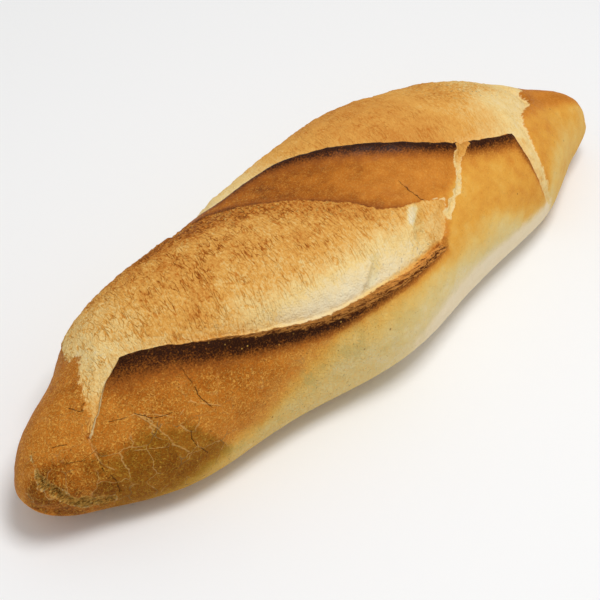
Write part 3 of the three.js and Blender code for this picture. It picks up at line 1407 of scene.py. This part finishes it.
@dataclass(frozen=True)
class CrustFinish:
    """Crust: colours by bake, with grain, flakes, blisters, pores, cracks, flour, char and torn rims, and
    painted shade at the low near end.
    """

    stops: Stops = (
        (0.0, tone(230, 216, 178)),
        (0.18, tone(226, 202, 138)),
        (0.38, tone(230, 188, 102)),
        (0.54, tone(224, 162, 66)),
        (0.70, tone(206, 130, 46)),
        (0.84, tone(180, 106, 30)),
        (0.94, tone(148, 80, 16)),
        (1.0, tone(112, 56, 10)),
    )
    mottle: Noise = Noise(20.0)
    mottle_bake: float = 0.05
    patch_bake: float = 0.05
    grain_bake: float = 0.08
    flake_bake: float = 0.06
    grain_height: float = 0.1
    patch_height: float = 0.1

    # Thin translucent crust, blisters, pores, bubbles and specks
    window: Mark = Mark(tone(190, 168, 98), 0.7)
    window_patches: Patches = Patches(Noise(9.0, 3.0), (-0.1, 0.5))
    window_least: float = 0.3
    blister: Mark = Mark(tone(240, 182, 86), 0.5, 0.18)
    blister_worms: Noise = Noise(1.5, 1.0, 0.4)
    blister_width: Pair = (0.02, 0.24)
    pore: Mark = Mark(tone(112, 60, 14), 0.6, -0.15)
    pore_patches: Patches = Patches(Noise(0.95, 1.0), (0.6, 1.1))
    bubble: Mark = Mark(tone(240, 182, 86), 0.6)
    bubble_dots: Dots = Dots(2.6, 0.3, (0.1, 0.2))
    speck: Mark = Mark(tone(132, 84, 28), 0.7)
    speck_dots: Dots = Dots(7.0, 0.3, (0.05, 0.1))

    # Crazed flakes, their pale edges and the dark cracks between them
    flake_size: float = 14.0
    flake_bend: Noise = Noise(8.0)
    flake_sway: float = 5.0
    flake_height: float = 0.3
    flake_shown: Patches = Patches(Noise(12.0), (-0.35, 0.15))
    flake_least: float = 0.3
    flake_shade: Pair = (0.0, 0.4)
    flake_edge: Mark = Mark(tone(236, 190, 118), 0.42, 0.12)
    flake_edge_width: Pair = (0.05, 0.34)
    flake_crack: Mark = Mark(tone(70, 36, 8), 0.6, -0.3)
    flake_crack_width: Pair = (0.05, 0.24)
    flake_crack_shown: Patches = Patches(Noise(6.0), (0.2, 0.45))

    # Painted shade of the low near end, tinting it together with its olive-brown plates
    shaded_dull: Colour = (0.57, 0.6, 0.33, 1.0)
    shaded_dull_share: float = 0.95
    shaded_dull_flake: float = 0.3
    shaded_dull_patch: float = 0.15
    shaded_dull_band: Pair = (0.25, 1.0)
    shaded_dull_bake: Pair = (0.3, 0.65)

    # Drawn hairlines
    pale_line: Mark = Mark(tone(236, 190, 118), 0.4, 0.2)
    pale_line_width: Pair = (0.1, 0.5)
    dark_line: Mark = Mark(tone(70, 36, 8), 0.75, -0.4)
    dark_line_width: Pair = (0.05, 0.3)
    line_jag: Noise = Noise(2.4)
    line_sway: float = 0.35
    line_shown: Patches = Patches(Noise(3.5), (-0.6, 0.1))
    line_near: Pair = (0.35, 0.65)

    # Flour and char
    flour: Mark = Mark(tone(246, 229, 200), 0.7)
    flour_patch: float = 0.18
    flour_grain: float = 0.12
    flour_band: Pair = (0.3, 0.9)
    char_grain: float = 0.36
    char_patch: float = 0.16
    singed: Mark = Mark(tone(172, 96, 30), 0.8)
    singed_band: Pair = (0.0, 0.5)
    burnt: Mark = Mark(tone(60, 27, 8))
    burnt_band: Pair = (0.1, 1.0)
    burnt_blister: float = 0.3
    black: Mark = Mark(tone(34, 17, 8), 0.6)
    black_band: Pair = (0.75, 1.2)

    # Torn rim of the lips
    rim_dark: Colour = tone(96, 46, 12)
    rim_light: Colour = tone(226, 152, 72)
    rim_fray: Noise = Noise(1.8)
    rim_sway: float = 0.35
    rim_band: Pair = (0.25, 0.75)
    streak: Noise = Noise((5.0, 0.8, 1.2), 3.0, 0.6)
    streak_light: float = 1.4
    grain_light: float = 0.8
    top_light: float = 0.7
    light_band: Pair = (-0.7, 0.7)
    rim_burnt: float = 0.5
    rim_burnt_band: Pair = (0.4, 1.0)
    rim_height: float = 0.5

    def coat(self, kit: NodeKit, place: Value, grain: Value, patches: Value) -> Coat:
        """Crust: the ramp of its bake, then each kind of mark laid over those before it.

        Args:
            kit: adds the nodes.
            place: Object coordinates in millimetres.
            grain: fine noise.
            patches: middling noise.

        Returns:
            Its colour and height.
        """
        craze = kit.attribute(Field.CRAZE)
        bake = kit.attribute(Field.BAKE)
        shade = kit.attribute(Field.SHADE)
        flake_tone, flake_edge, flake_crack = self._flakes(kit, place, craze, shade)
        level = bake + self.mottle_bake * kit.noise(place, self.mottle) + self.patch_bake * patches
        level = level + craze * (self.grain_bake * grain + self.flake_bake * flake_tone)
        height = self.grain_height * craze * grain + self.patch_height * patches
        coat = Coat(kit, kit.ramp(level, self.stops), height + self.flake_height * flake_tone)

        seen = self.window_least + (1.0 - self.window_least) * kit.patches(place, self.window_patches)
        coat.lay(self.window, kit.attribute(Field.WINDOW) * seen)
        worms = abs(kit.noise(place, self.blister_worms))
        blister = (1.0 - kit.smooth(worms, self.blister_width)) * craze
        coat.lay(self.blister, blister)
        coat.lay(self.pore, kit.patches(place, self.pore_patches) * craze)
        # Painted shade of the low near end with its olive-brown plates: a multiplying tint, stepped by the
        # flakes.
        plate = shade + self.shaded_dull_flake * flake_tone + self.shaded_dull_patch * patches
        shaded_dull = self.shaded_dull_share * kit.smooth(plate, self.shaded_dull_band)
        coat.tint(self.shaded_dull, shaded_dull * kit.smooth(bake, self.shaded_dull_bake))
        coat.lay(self.flake_edge, flake_edge)
        coat.lay(self.flake_crack, flake_crack)
        coat.lay(self.speck, kit.dots(place, self.speck_dots))
        coat.lay(self.pale_line, self._hairline(kit, place, Field.PALE_LINE, self.pale_line_width))
        coat.lay(self.dark_line, self._hairline(kit, place, Field.DARK_LINE, self.dark_line_width))
        dusted = kit.attribute(Field.FLOUR) + self.flour_patch * patches + self.flour_grain * grain
        coat.lay(self.flour, kit.smooth(dusted, self.flour_band))
        # The char field also carries painted shade along the near opening's strip-side rim.
        burn = kit.attribute(Field.CHAR) * (1.0 + self.char_grain * grain + self.char_patch * patches)
        coat.lay(self.singed, kit.smooth(burn, self.singed_band))
        coat.lay(self.burnt, kit.smooth(burn, self.burnt_band) * (1.0 - self.burnt_blister * blister))
        coat.lay(self.black, kit.smooth(burn, self.black_band))
        coat.lay(self.bubble, craze * kit.dots(place, self.bubble_dots))
        self._tear_rim(kit, coat, place, grain, burn)
        return coat

    def _tear_rim(self, kit: NodeKit, coat: Coat, place: Value, grain: Value, burn: Value) -> None:
        """Torn rim: streaks along the fibres from dark to light, lighter at its top, less where burnt.

        Args:
            kit: adds the nodes.
            coat: the crust so far.
            place: Object coordinates in millimetres.
            grain: fine noise.
            burn: how burnt the crust is.
        """
        ragged = kit.attribute(Field.RIM) + self.rim_sway * kit.noise(place, self.rim_fray)
        rim = kit.smooth(ragged, self.rim_band)
        streak = kit.noise(kit.attribute_vector(Field.FIBRE), self.streak)
        light = self.streak_light * streak + self.grain_light * grain
        light = light + self.top_light * kit.attribute(Field.RIM_TOP)
        fibrous = kit.mix(kit.smooth(light, self.light_band), self.rim_dark, self.rim_light)
        kept = 1.0 - self.rim_burnt * kit.smooth(burn, self.rim_burnt_band)
        coat.colour = kit.mix(rim * kept, coat.colour, fibrous)
        coat.height = coat.height + self.rim_height * rim * streak

    def _hairline(self, kit: NodeKit, place: Value, name: Field, width: Pair) -> Value:
        """Drawn line: a narrow S-curve of the jagged distance across it, where the line is near.

        Args:
            kit: adds the nodes.
            place: Object coordinates in millimetres.
            name: the field of the lines.
            width: distances at which the line starts to fade and is gone.

        Returns:
            The line, 0 to 1.
        """
        parts = kit.add("ShaderNodeSeparateXYZ", {}, {"Vector": kit.attribute_vector(name)})
        across = kit.out(parts, "X") + self.line_sway * kit.noise(place, self.line_jag)
        shown = kit.patches(place, self.line_shown) * kit.smooth(kit.out(parts, "Y"), self.line_near)
        return (1.0 - kit.smooth(abs(across), width)) * shown

    def _flakes(self, kit: NodeKit, place: Value, craze: Value, shade: Value) -> tuple[Value, Value, Value]:
        """Crazed flakes: bent Voronoi cells, each of its own tone, with pale edges and some dark cracks.

        Args:
            kit: adds the nodes.
            place: Object coordinates in millimetres.
            craze: share of crazing.
            shade: share of the painted shade and olive-brown crust of the low near end, where most of the
                lines show.

        Returns:
            Tone of the flake about 0, pale edge and dark crack.
        """
        bend = kit.out(kit.noise_node(place, self.flake_bend), "Color")
        bend = kit.vector("SUBTRACT", bend, (kit.noise_middle,) * 3)
        bent = kit.vector("ADD", place, kit.vector("MULTIPLY", bend, (2.0 * self.flake_sway,) * 3))
        pick = kit.pick(kit.cells(bent, self.flake_size))
        border = kit.cells(bent, self.flake_size, "DISTANCE_TO_EDGE")
        apart = kit.out(border, "Distance") * self.flake_size
        shaded = self.flake_least + (1.0 - self.flake_least) * kit.smooth(shade, self.flake_shade)
        shown = kit.patches(place, self.flake_shown) * craze * shaded
        edge = (1.0 - kit.smooth(apart, self.flake_edge_width)) * shown
        cracked = kit.patches(place, self.flake_crack_shown) * shown
        crack = (1.0 - kit.smooth(apart, self.flake_crack_width)) * cracked
        return (pick - 0.5) * craze, edge, crack


@dataclass(frozen=True)
class CrumbFinish:
    """Torn crumb: colours by tan, drawn out in strokes and threads, with toast, pits, and painted shade in
    its folds and sponge.
    """

    stops: Stops = (
        (0.0, tone(236, 222, 186)),
        (0.3, tone(238, 206, 138)),
        (0.55, tone(225, 166, 82)),
        (0.8, tone(195, 119, 44)),
        (1.0, tone(144, 78, 24)),
    )
    base_tan: float = 0.02
    patch_tan: float = 0.05
    grain_tan: float = 0.07
    grain_height: float = 0.12

    # Strokes, threads and hairs along the fibres
    stroke: Noise = Noise((1.2, 5.0, 5.0), 1.5, 0.6)
    stroke_band: Pair = (0.35, 0.95)
    stroke_tan: float = 0.16
    stroke_height: float = -0.3
    pale_stroke_band: Pair = (0.2, 0.9)
    pale_stroke_tan: float = -0.1
    thread: Noise = Noise((1.9, 8.0, 8.0), 1.0, 0.4)
    thread_width: Pair = (0.0, 0.22)
    thread_tan: float = 0.27
    thread_height: float = -0.3
    crowd: Patches = Patches(Noise(8.0), (-0.4, 0.5))
    crowd_least: float = 0.3
    hair: Noise = Noise((0.6, 1.7, 1.7), 2.0, 0.3)
    hair_tan: float = 0.1
    hair_height: float = 0.2

    # Granules, blotches and toast
    granule: Noise = Noise(1.5, 3.0)
    granule_tan: float = 0.1
    granule_height: float = 0.14
    blotch: Noise = Noise(13.0, 3.0)
    blotch_tan: float = 0.1
    toast_tan: float = 0.2
    toast_granule_tan: float = 0.2
    toast_height: float = 0.3

    # Pits, and painted shade in the sponge, its holes and the folds
    pit: Mark = Mark(tone(96, 46, 12), 0.65, -0.5)
    pit_band: Pair = (-0.9, -0.5)
    pit_dots: Dots = Dots(9.0, 0.25, (0.04, 0.09))
    shade_tint: Colour = (0.67, 0.72, 0.62, 1.0)
    sponge_shade_share: float = 0.75
    sponge_patch: float = 0.25
    fold_shade_share: float = 0.3
    hole_shade: Mark = Mark(tone(104, 76, 26), 0.6, -0.8)
    hole_size: float = 2.4
    hole_grain: float = 0.06
    hole_band: Pair = (0.1, 0.3)

    def coat(self, kit: NodeKit, place: Value, grain: Value, patches: Value) -> Coat:
        """Crumb: a tan ramp drawn out in short strokes, then pits, painted shade in the sponge and folds, and
        the sponge's holes painted dark as shade.

        Args:
            kit: adds the nodes.
            place: Object coordinates in millimetres.
            grain: fine noise.
            patches: middling noise.

        Returns:
            Its colour and height.
        """
        lie = kit.attribute_vector(Field.FIBRE)
        drawn = kit.attribute(Field.DRAWN)
        toast = kit.attribute(Field.TOAST)
        sponge = kit.attribute(Field.SPONGE)
        wave = kit.noise(lie, self.stroke)
        crowded = drawn * (self.crowd_least + (1.0 - self.crowd_least) * kit.patches(place, self.crowd))
        stroke = kit.smooth(wave, self.stroke_band) * crowded
        thread = (1.0 - kit.smooth(abs(kit.noise(lie, self.thread)), self.thread_width)) * crowded
        pale_stroke = kit.smooth(-1.0 * wave, self.pale_stroke_band) * drawn
        hair = kit.noise(lie, self.hair)
        granule = kit.noise(place, self.granule)

        level = kit.attribute(Field.TAN) + self.base_tan + self.patch_tan * patches
        level = level + self.stroke_tan * stroke + self.thread_tan * thread
        level = level + self.pale_stroke_tan * pale_stroke
        fine = self.hair_tan * hair + self.grain_tan * grain + self.granule_tan * granule
        level = level + drawn * (fine + self.blotch_tan * kit.noise(place, self.blotch))
        level = level + toast * (self.toast_tan + self.toast_granule_tan * granule)
        height = self.grain_height * grain + self.toast_height * toast * granule
        height = height + drawn * (self.hair_height * hair + self.granule_height * granule)
        height = height + self.stroke_height * stroke + self.thread_height * thread
        coat = Coat(kit, kit.ramp(level, self.stops), height)

        toasted_pit = toast * (1.0 - kit.smooth(granule, self.pit_band))
        coat.lay(self.pit, toasted_pit + kit.dots(place, self.pit_dots) * drawn)
        # Painted shade: a grey-green tint in the nose tear's sponge and in the folds, and the sponge's holes
        # painted dark over their dip.
        coat.tint(self.shade_tint, sponge * (self.sponge_shade_share + self.sponge_patch * patches))
        coat.tint(self.shade_tint, self.fold_shade_share * kit.attribute(Field.FOLD))
        walls = kit.out(kit.cells(lie, self.hole_size, "DISTANCE_TO_EDGE"), "Distance")
        coat.lay(self.hole_shade, sponge * kit.smooth(walls + self.hole_grain * grain, self.hole_band))
        return coat


@dataclass(frozen=True)
class LoafFinish:
    """Baked crust and torn crumb in one material, with a frayed border and cream lines between them."""

    crust: CrustFinish = CrustFinish()
    crumb: CrumbFinish = CrumbFinish()
    grain: Noise = Noise(0.8)
    patches: Noise = Noise(5.0, 3.0)
    fray: Noise = Noise(1.8, 3.0)
    fray_sway: float = 0.4
    patch_sway: float = 0.2
    grain_sway: float = 0.1
    torn_band: Pair = (-0.25, 0.25)
    cream: Mark = Mark(tone(240, 216, 158), 0.7)
    cream_patch: float = 0.18
    cream_grain: float = 0.12
    cream_band: Pair = (0.35, 0.7)
    rough: float = 0.58
    gloss_rough: float = -0.14
    torn_rough: float = 0.32
    grain_rough: float = 0.04
    specular: float = 0.05
    satin: float = 0.1
    satin_rough: float = 0.4

    def material(self) -> bpy.types.Material:
        """Builds the whole finish: crust mixed to crumb where the surface is torn, over one bump.

        Returns:
            The material.
        """
        made = bpy.data.materials.new("baked_crust_and_crumb")
        kit = NodeKit(made)
        metres = kit.out(kit.add("ShaderNodeTexCoord"), "Object")
        place = kit.vector("DIVIDE", metres, (METRE,) * 3)
        grain = kit.noise(place, self.grain)
        patches = kit.noise(place, self.patches)
        gloss = kit.attribute(Field.GLOSS)
        crust = self.crust.coat(kit, place, grain, patches)
        crumb = self.crumb.coat(kit, place, grain, patches)
        ragged = self.patch_sway * patches + self.grain_sway * grain
        ragged = ragged + self.fray_sway * kit.noise(place, self.fray)
        torn = kit.smooth(kit.attribute(Field.TORN) + ragged, self.torn_band)
        height = crust.height + torn * (crumb.height - crust.height)
        coat = Coat(kit, kit.mix(torn, crust.colour, crumb.colour), height)
        cream = kit.attribute(Field.EDGE) + self.cream_patch * patches + self.cream_grain * grain
        coat.lay(self.cream, kit.smooth(cream, self.cream_band))
        rough = self.rough + self.gloss_rough * gloss + self.torn_rough * torn + self.grain_rough * grain
        bump = kit.add("ShaderNodeBump", {}, {"Strength": 1.0, "Distance": METRE, "Height": coat.height})
        sockets = {
            "Base Color": coat.colour,
            "Roughness": rough,
            "Normal": kit.out(bump),
            "Specular IOR Level": self.specular,
            "Coat Weight": self.satin * gloss * (1.0 - torn),
            "Coat Roughness": self.satin_rough,
        }
        shader = kit.add("ShaderNodeBsdfPrincipled", {}, sockets)
        kit.add("ShaderNodeOutputMaterial", {}, {"Surface": kit.out(shader)})
        return made


@dataclass(frozen=True)
class FloorFinish:
    """Plain pale matt floor."""

    colour: Colour = (0.9, 0.9, 0.9, 1.0)
    rough: float = 0.9

    def material(self) -> bpy.types.Material:
        """Builds the finish.

        Returns:
            The material.
        """
        made = bpy.data.materials.new("pale_floor")
        kit = NodeKit(made)
        sockets = {"Base Color": self.colour, "Roughness": self.rough}
        shader = kit.add("ShaderNodeBsdfPrincipled", {}, sockets)
        kit.add("ShaderNodeOutputMaterial", {}, {"Surface": kit.out(shader)})
        return made


@dataclass(frozen=True)
class Guide:
    """Line of columns along the loaf: a lip, carried on to both ends through a place before and after it."""

    lip: tuple[Pair, ...]
    start: float
    before: Pair
    after: Pair
    end: float

    def along(self, body: Body) -> Curve:
        """Angle of the line along the body."""
        first, last = (body.near_end, self.start), (body.far_end, self.end)
        return Curve((first, self.before, *self.lip, self.after, last))


@dataclass
class Loaf:
    """The loaf: body, openings and furrows worked out on a grid of stations and columns, and its finish."""

    body: Body
    near: NearOpening = field(default_factory=NearOpening)
    far: FarOpening = field(default_factory=FarOpening)
    crust: CrustBake = field(default_factory=CrustBake)
    crumb: CrumbBake = field(default_factory=CrumbBake)
    finish: LoafFinish = field(default_factory=LoafFinish)

    # Grid
    stations: int = 446
    columns: tuple[int, int, int] = (74, 90, 56)
    station_crowding: float = 0.1
    column_crowding: float = 0.55
    near_guide: Guide = Guide(NEAR_LIP, 95.0, (-140.0, 95.0), (80.0, 30.0), 30.0)
    far_guide: Guide = Guide(FAR_LIP, 152.0, (-80.0, 158.0), (150.0, 60.0), 60.0)
    fibre_lean: float = -12.0

    # Relief: waves are (rise, length, turns, lag), roughness is (seed, size, height)
    waves: tuple[tuple[float, float, float, float], ...] = (
        (0.7, 34.0, -2.0, 2.0), (0.5, 13.0, 3.0, 0.7), (0.6, 21.0, 2.0, 1.3),
    )
    wander: tuple[Rough, Rough] = (Rough(11, 2.8, 0.55), Rough(15, 9.0, 0.6))
    crust_rough: Rough = Rough(71, 3.4, 0.14)
    crumb_fibre: Rough = Rough(21, (1.8, 6.0, 6.0), 0.28)
    crumb_lump: Rough = Rough(31, 6.0, 0.3)
    toast_rough: Rough = Rough(41, 2.6, 0.45)
    toast_rise: float = 0.4
    rim_rough: Rough = Rough(51, (2.4, 1.4, 1.4), 0.7)
    off_sole: Fade = Fade(-50.0, 40.0)
    off_end: Fade = Fade(0.0, 4.0)

    def grid(self) -> tuple[Array, Array]:
        """Places of the grid: stations crowd at the ends, columns at the two lips that they follow.

        Returns:
            x and angle, stations + 1 by columns.
        """
        along = crowd(np.linspace(0, 1, self.stations + 1), self.station_crowding)
        x = self.body.near_end + (self.body.far_end - self.body.near_end) * along
        near = self.near_guide.along(self.body)(x)[:, None]
        far = self.far_guide.along(self.body)(x)[:, None]
        flank, top, back = (np.arange(count) / count for count in self.columns)
        to_near = 2 * crowd(0.5 + flank / 2, self.column_crowding) - 1
        to_far = crowd(top, self.column_crowding)
        to_sole = 2 * crowd(back / 2, self.column_crowding)
        sides = [-90 + (near + 90) * to_near, near + (far - near) * to_far, far + (270 - far) * to_sole]
        angle = np.hstack(sides)
        return np.repeat(x[:, None], angle.shape[1], axis=1), angle

    def places(self, x: Array, angle: Array) -> Places:
        """The grid's places, with fibres along the slashes: x and girth turned by the lean, and height.

        Args:
            x: places along the loaf.
            angle: places round it.

        Returns:
            The places.
        """
        points = self.body.point(x, angle)
        girth = angle * GIRTH_PER_DEGREE
        lean = math.radians(self.fibre_lean)
        along = x * math.cos(lean) + girth * math.sin(lean)
        across = girth * math.cos(lean) - x * math.sin(lean)
        return Places(x, angle, points, np.stack([along, across, points[:, 2]], 1))

    def measure(self, places: Places) -> Measured:
        """Measures both openings and every furrow, their edges moved by the same ragged noise.

        Args:
            places: the grid's places.

        Returns:
            What was measured.
        """
        points = places.points
        ragged = sum(layer.at(points) for layer in self.wander)
        near, far = (
            opening.measure(self.body, places.x, places.angle, points, ragged)
            for opening in (self.near, self.far)
        )

        def furrows(grooves: Sequence[Groove]) -> list[tuple[Array, Array]]:
            """Depth inside each furrow, and its drop."""
            return [groove.measure(self.body, points, ragged) for groove in grooves]

        tears, cracks, creases = furrows((SEAM, NOSE_TEAR)), furrows(CRACKS), furrows(CREASES)
        (white_fold, _), (knob_tear, _) = furrows((WHITE_FOLD, KNOB_TEAR))
        seam, nose = (inside for inside, _ in tears)
        return Measured(
            near=near,
            far=far,
            seam=seam,
            nose=nose,
            white_fold=white_fold,
            knob_tear=knob_tear,
            creases=tuple(inside for inside, _ in creases),
            drop=sum(drop for _, drop in (*tears, *cracks, *creases)),
        )

    def wave_height(self, x: Array, angle: Array) -> Array:
        """Low waves of the hand-shaped dough: a sum of slanting sines."""
        turn = np.radians(angle)
        return sum(rise * np.sin(x / length + turns * turn + lag) for rise, length, turns, lag in self.waves)

    def height(self, places: Places, measured: Measured) -> Array:
        """Relief: waves and roughness off the sole, the openings, less the furrows, and the torn roughness.

        Args:
            places: the grid's places.
            measured: the openings and furrows there.

        Returns:
            Heights along the normal, gone at both ends of the loaf.
        """
        points, angle = places.points, places.angle
        in_crumb = self.crumb.in_crumb(measured)
        toast = self.crumb.toast(places, measured)
        rim = measured.near.rim_share() + measured.far.rim_share()
        off_sole = self.off_sole(angle) * self.off_sole(180 - angle)
        height = off_sole * (self.wave_height(places.x, angle) + self.crust_rough.at(points))
        height += self.near.relief(measured.near) + self.far.relief(measured.far) - measured.drop
        height += in_crumb * (self.crumb_fibre.at(places.fibre) + self.crumb_lump.at(points))
        height += in_crumb * toast * (self.toast_rough.at(points) + self.toast_rise)
        height += rim * self.rim_rough.at(places.fibre)
        return height * self.off_end(self.body.to_end(places.x))

    def fields(self, places: Places, measured: Measured) -> dict[Field, Array]:
        """Every field of the finish: the crust's, the crumb's, and those of the edges between them.

        Args:
            places: the grid's places.
            measured: the openings and furrows there.

        Returns:
            Values by field.
        """
        near, far = measured.near, measured.far
        torn = [near.depth / near.soft, far.depth / far.soft]
        return {
            **self.crust.fields(places, measured),
            **self.crumb.fields(places, measured),
            Field.TORN: np.maximum.reduce([*torn, measured.seam, measured.nose, measured.knob_tear]),
            Field.CHAR: np.maximum(near.char_share(), far.char_share()),
            Field.RIM: np.clip(near.rim_share() + far.rim_share(), 0, 1),
            Field.RIM_TOP: near.rim_top_share(),
            Field.FIBRE: places.fibre,
            Field.DARK_LINE: DARK_LINES.measure(places.x, places.angle),
            Field.PALE_LINE: PALE_LINES.measure(places.x, places.angle),
        }

    def skin(self) -> Skin:
        """Works out the whole surface: the body moved along its normals by the relief, and its fields.

        Returns:
            The skin.
        """
        grid_x, grid_angle = self.grid()
        places = self.places(grid_x.ravel(), grid_angle.ravel())
        measured = self.measure(places)
        normal = self.body.normal(places.x, places.angle)
        moved = places.points + normal * self.height(places, measured)[:, None]
        moved[:, 0] -= self.body.middle
        moved[:, 2] = np.maximum(moved[:, 2], 0.0)
        rows = moved.reshape((*grid_x.shape, 3))
        return Skin(rings=rows[1:-1], poles=rows[[0, -1], 0], fields=self.fields(places, measured))

    def build(self) -> bpy.types.Object:
        """Makes the mesh: quads between neighbouring rings, a fan at each pole, and its attributes.

        Returns:
            The loaf, in metres, in the frame's place.
        """
        skin = self.skin()
        rows, columns = skin.rings.shape[:2]
        vertices = np.vstack([skin.poles[:1], skin.rings.reshape(-1, 3), skin.poles[1:]]) * METRE
        ring = np.arange(rows)[:, None] * columns + np.arange(columns)[None] + 1
        turned = np.roll(ring, -1, axis=1)
        quads = np.stack([ring[:-1], ring[1:], turned[1:], turned[:-1]], 2).reshape(-1, 4)
        first = np.stack([np.zeros(columns, int), ring[0], turned[0]], 1)
        last = np.stack([np.full(columns, len(vertices) - 1), turned[-1], ring[-1]], 1)
        mesh = bpy.data.meshes.new("loaf_skin")
        mesh.from_pydata(vertices.tolist(), [], [*first.tolist(), *quads.tolist(), *last.tolist()])
        mesh.shade_smooth()
        for name, values in skin.fields.items():
            self.store(mesh, name, values, columns)
        piece = bpy.data.objects.new("loaf_crust_and_crumb", mesh)
        bpy.context.scene.collection.objects.link(piece)
        return piece

    @staticmethod
    def store(mesh: bpy.types.Mesh, name: Field, values: Array, columns: int) -> None:
        """Writes a field as a vertex attribute, one value for each pole.

        Args:
            mesh: the loaf's mesh.
            name: the field.
            values: one row for each place of the grid, poles repeated in their rings.
            columns: places in a ring.
        """
        kept = np.concatenate([values[:1], values[columns:-columns], values[-1:]]).astype(np.float32)
        kind, key = ("FLOAT", "value") if kept.ndim == 1 else ("FLOAT_VECTOR", "vector")
        mesh.attributes.new(name.value, kind, "POINT").data.foreach_set(key, kept.ravel())

    def dress(self, piece: bpy.types.Object) -> None:
        """Gives the loaf its finish and its place in the frame.

        Args:
            piece: the loaf.
        """
        piece.data.materials.append(self.finish.material())
        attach(piece, BODY)
        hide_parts(NODE)


@dataclass
class Studio:
    """Pale floor, soft light and the camera at the photograph's angle."""

    floor_finish: FloorFinish = field(default_factory=FloorFinish)
    floor_half: float = 6000.0
    azimuth: float = -46.0
    elevation: float = 45.0
    distance: float = 904.0
    target: Triple = (-23.0, -11.5, 34.0)
    focal_pixels: float = 2000.0
    image_pixels: float = 600.0
    sensor: float = 36.0
    sky_colour: Colour = (1.0, 1.0, 1.0, 1.0)
    sky_strength: float = 0.52
    key_power: float = 8.0
    key_size: float = 450.0
    key_place: Triple = (60.0, -240.0, 1180.0)

    def floor(self) -> bpy.types.Object:
        """Makes the floor: one square at z = 0.

        Returns:
            The floor.
        """
        half = self.floor_half * METRE
        corners = [(-half, -half, 0), (half, -half, 0), (half, half, 0), (-half, half, 0)]
        mesh = bpy.data.meshes.new("floor")
        mesh.from_pydata(corners, [], [(0, 1, 2, 3)])
        floor = bpy.data.objects.new("floor", mesh)
        bpy.context.scene.collection.objects.link(floor)
        mesh.materials.append(self.floor_finish.material())
        return floor

    def light(self) -> None:
        """Lights the scene: a white sky and one large soft lamp above."""
        world = bpy.data.worlds.new("studio_sky")
        world.use_nodes = True
        background = world.node_tree.nodes["Background"]
        background.inputs["Color"].default_value = self.sky_colour
        background.inputs["Strength"].default_value = self.sky_strength
        bpy.context.scene.world = world
        lamp = bpy.data.lights.new("key", "AREA")
        lamp.size = self.key_size * METRE
        lamp.energy = self.key_power
        key = bpy.data.objects.new("key", lamp)
        key.location = Vector(self.key_place) * METRE
        key.rotation_euler = (-key.location).to_track_quat("-Z", "Y").to_euler()
        bpy.context.scene.collection.objects.link(key)

    def camera(self) -> bpy.types.Object:
        """Places the camera on its azimuth and elevation, looking at the target.

        Returns:
            The camera.
        """
        turn, lift = math.radians(self.azimuth), math.radians(self.elevation)
        back = Vector((math.sin(turn) * math.cos(lift), -math.cos(turn) * math.cos(lift), math.sin(lift)))
        data = bpy.data.cameras.new("camera")
        data.sensor_width = self.sensor
        data.lens = self.sensor * self.focal_pixels / self.image_pixels
        camera = bpy.data.objects.new("camera", data)
        camera.location = (Vector(self.target) + back * self.distance) * METRE
        camera.rotation_euler = (-back).to_track_quat("-Z", "Y").to_euler()
        bpy.context.scene.collection.objects.link(camera)
        bpy.context.scene.camera = camera
        return camera


def main() -> None:
    """Builds the loaf and its studio."""
    logging.basicConfig(level=logging.INFO, format="%(name)s: %(message)s")
    low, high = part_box(NODE)
    studio = Studio()
    studio.camera()
    studio.floor()
    studio.light()
    length = (high.x - low.x) / METRE
    loaf = Loaf(Body(far_end=Body.near_end + length))
    piece = loaf.build()
    loaf.dress(piece)
    LOG.info("%s: %d vertices, %d faces", piece.name, len(piece.data.vertices), len(piece.data.polygons))
    bpy.context.scene.view_settings.view_transform = "Standard"


if __name__ == "__main__":
    main()
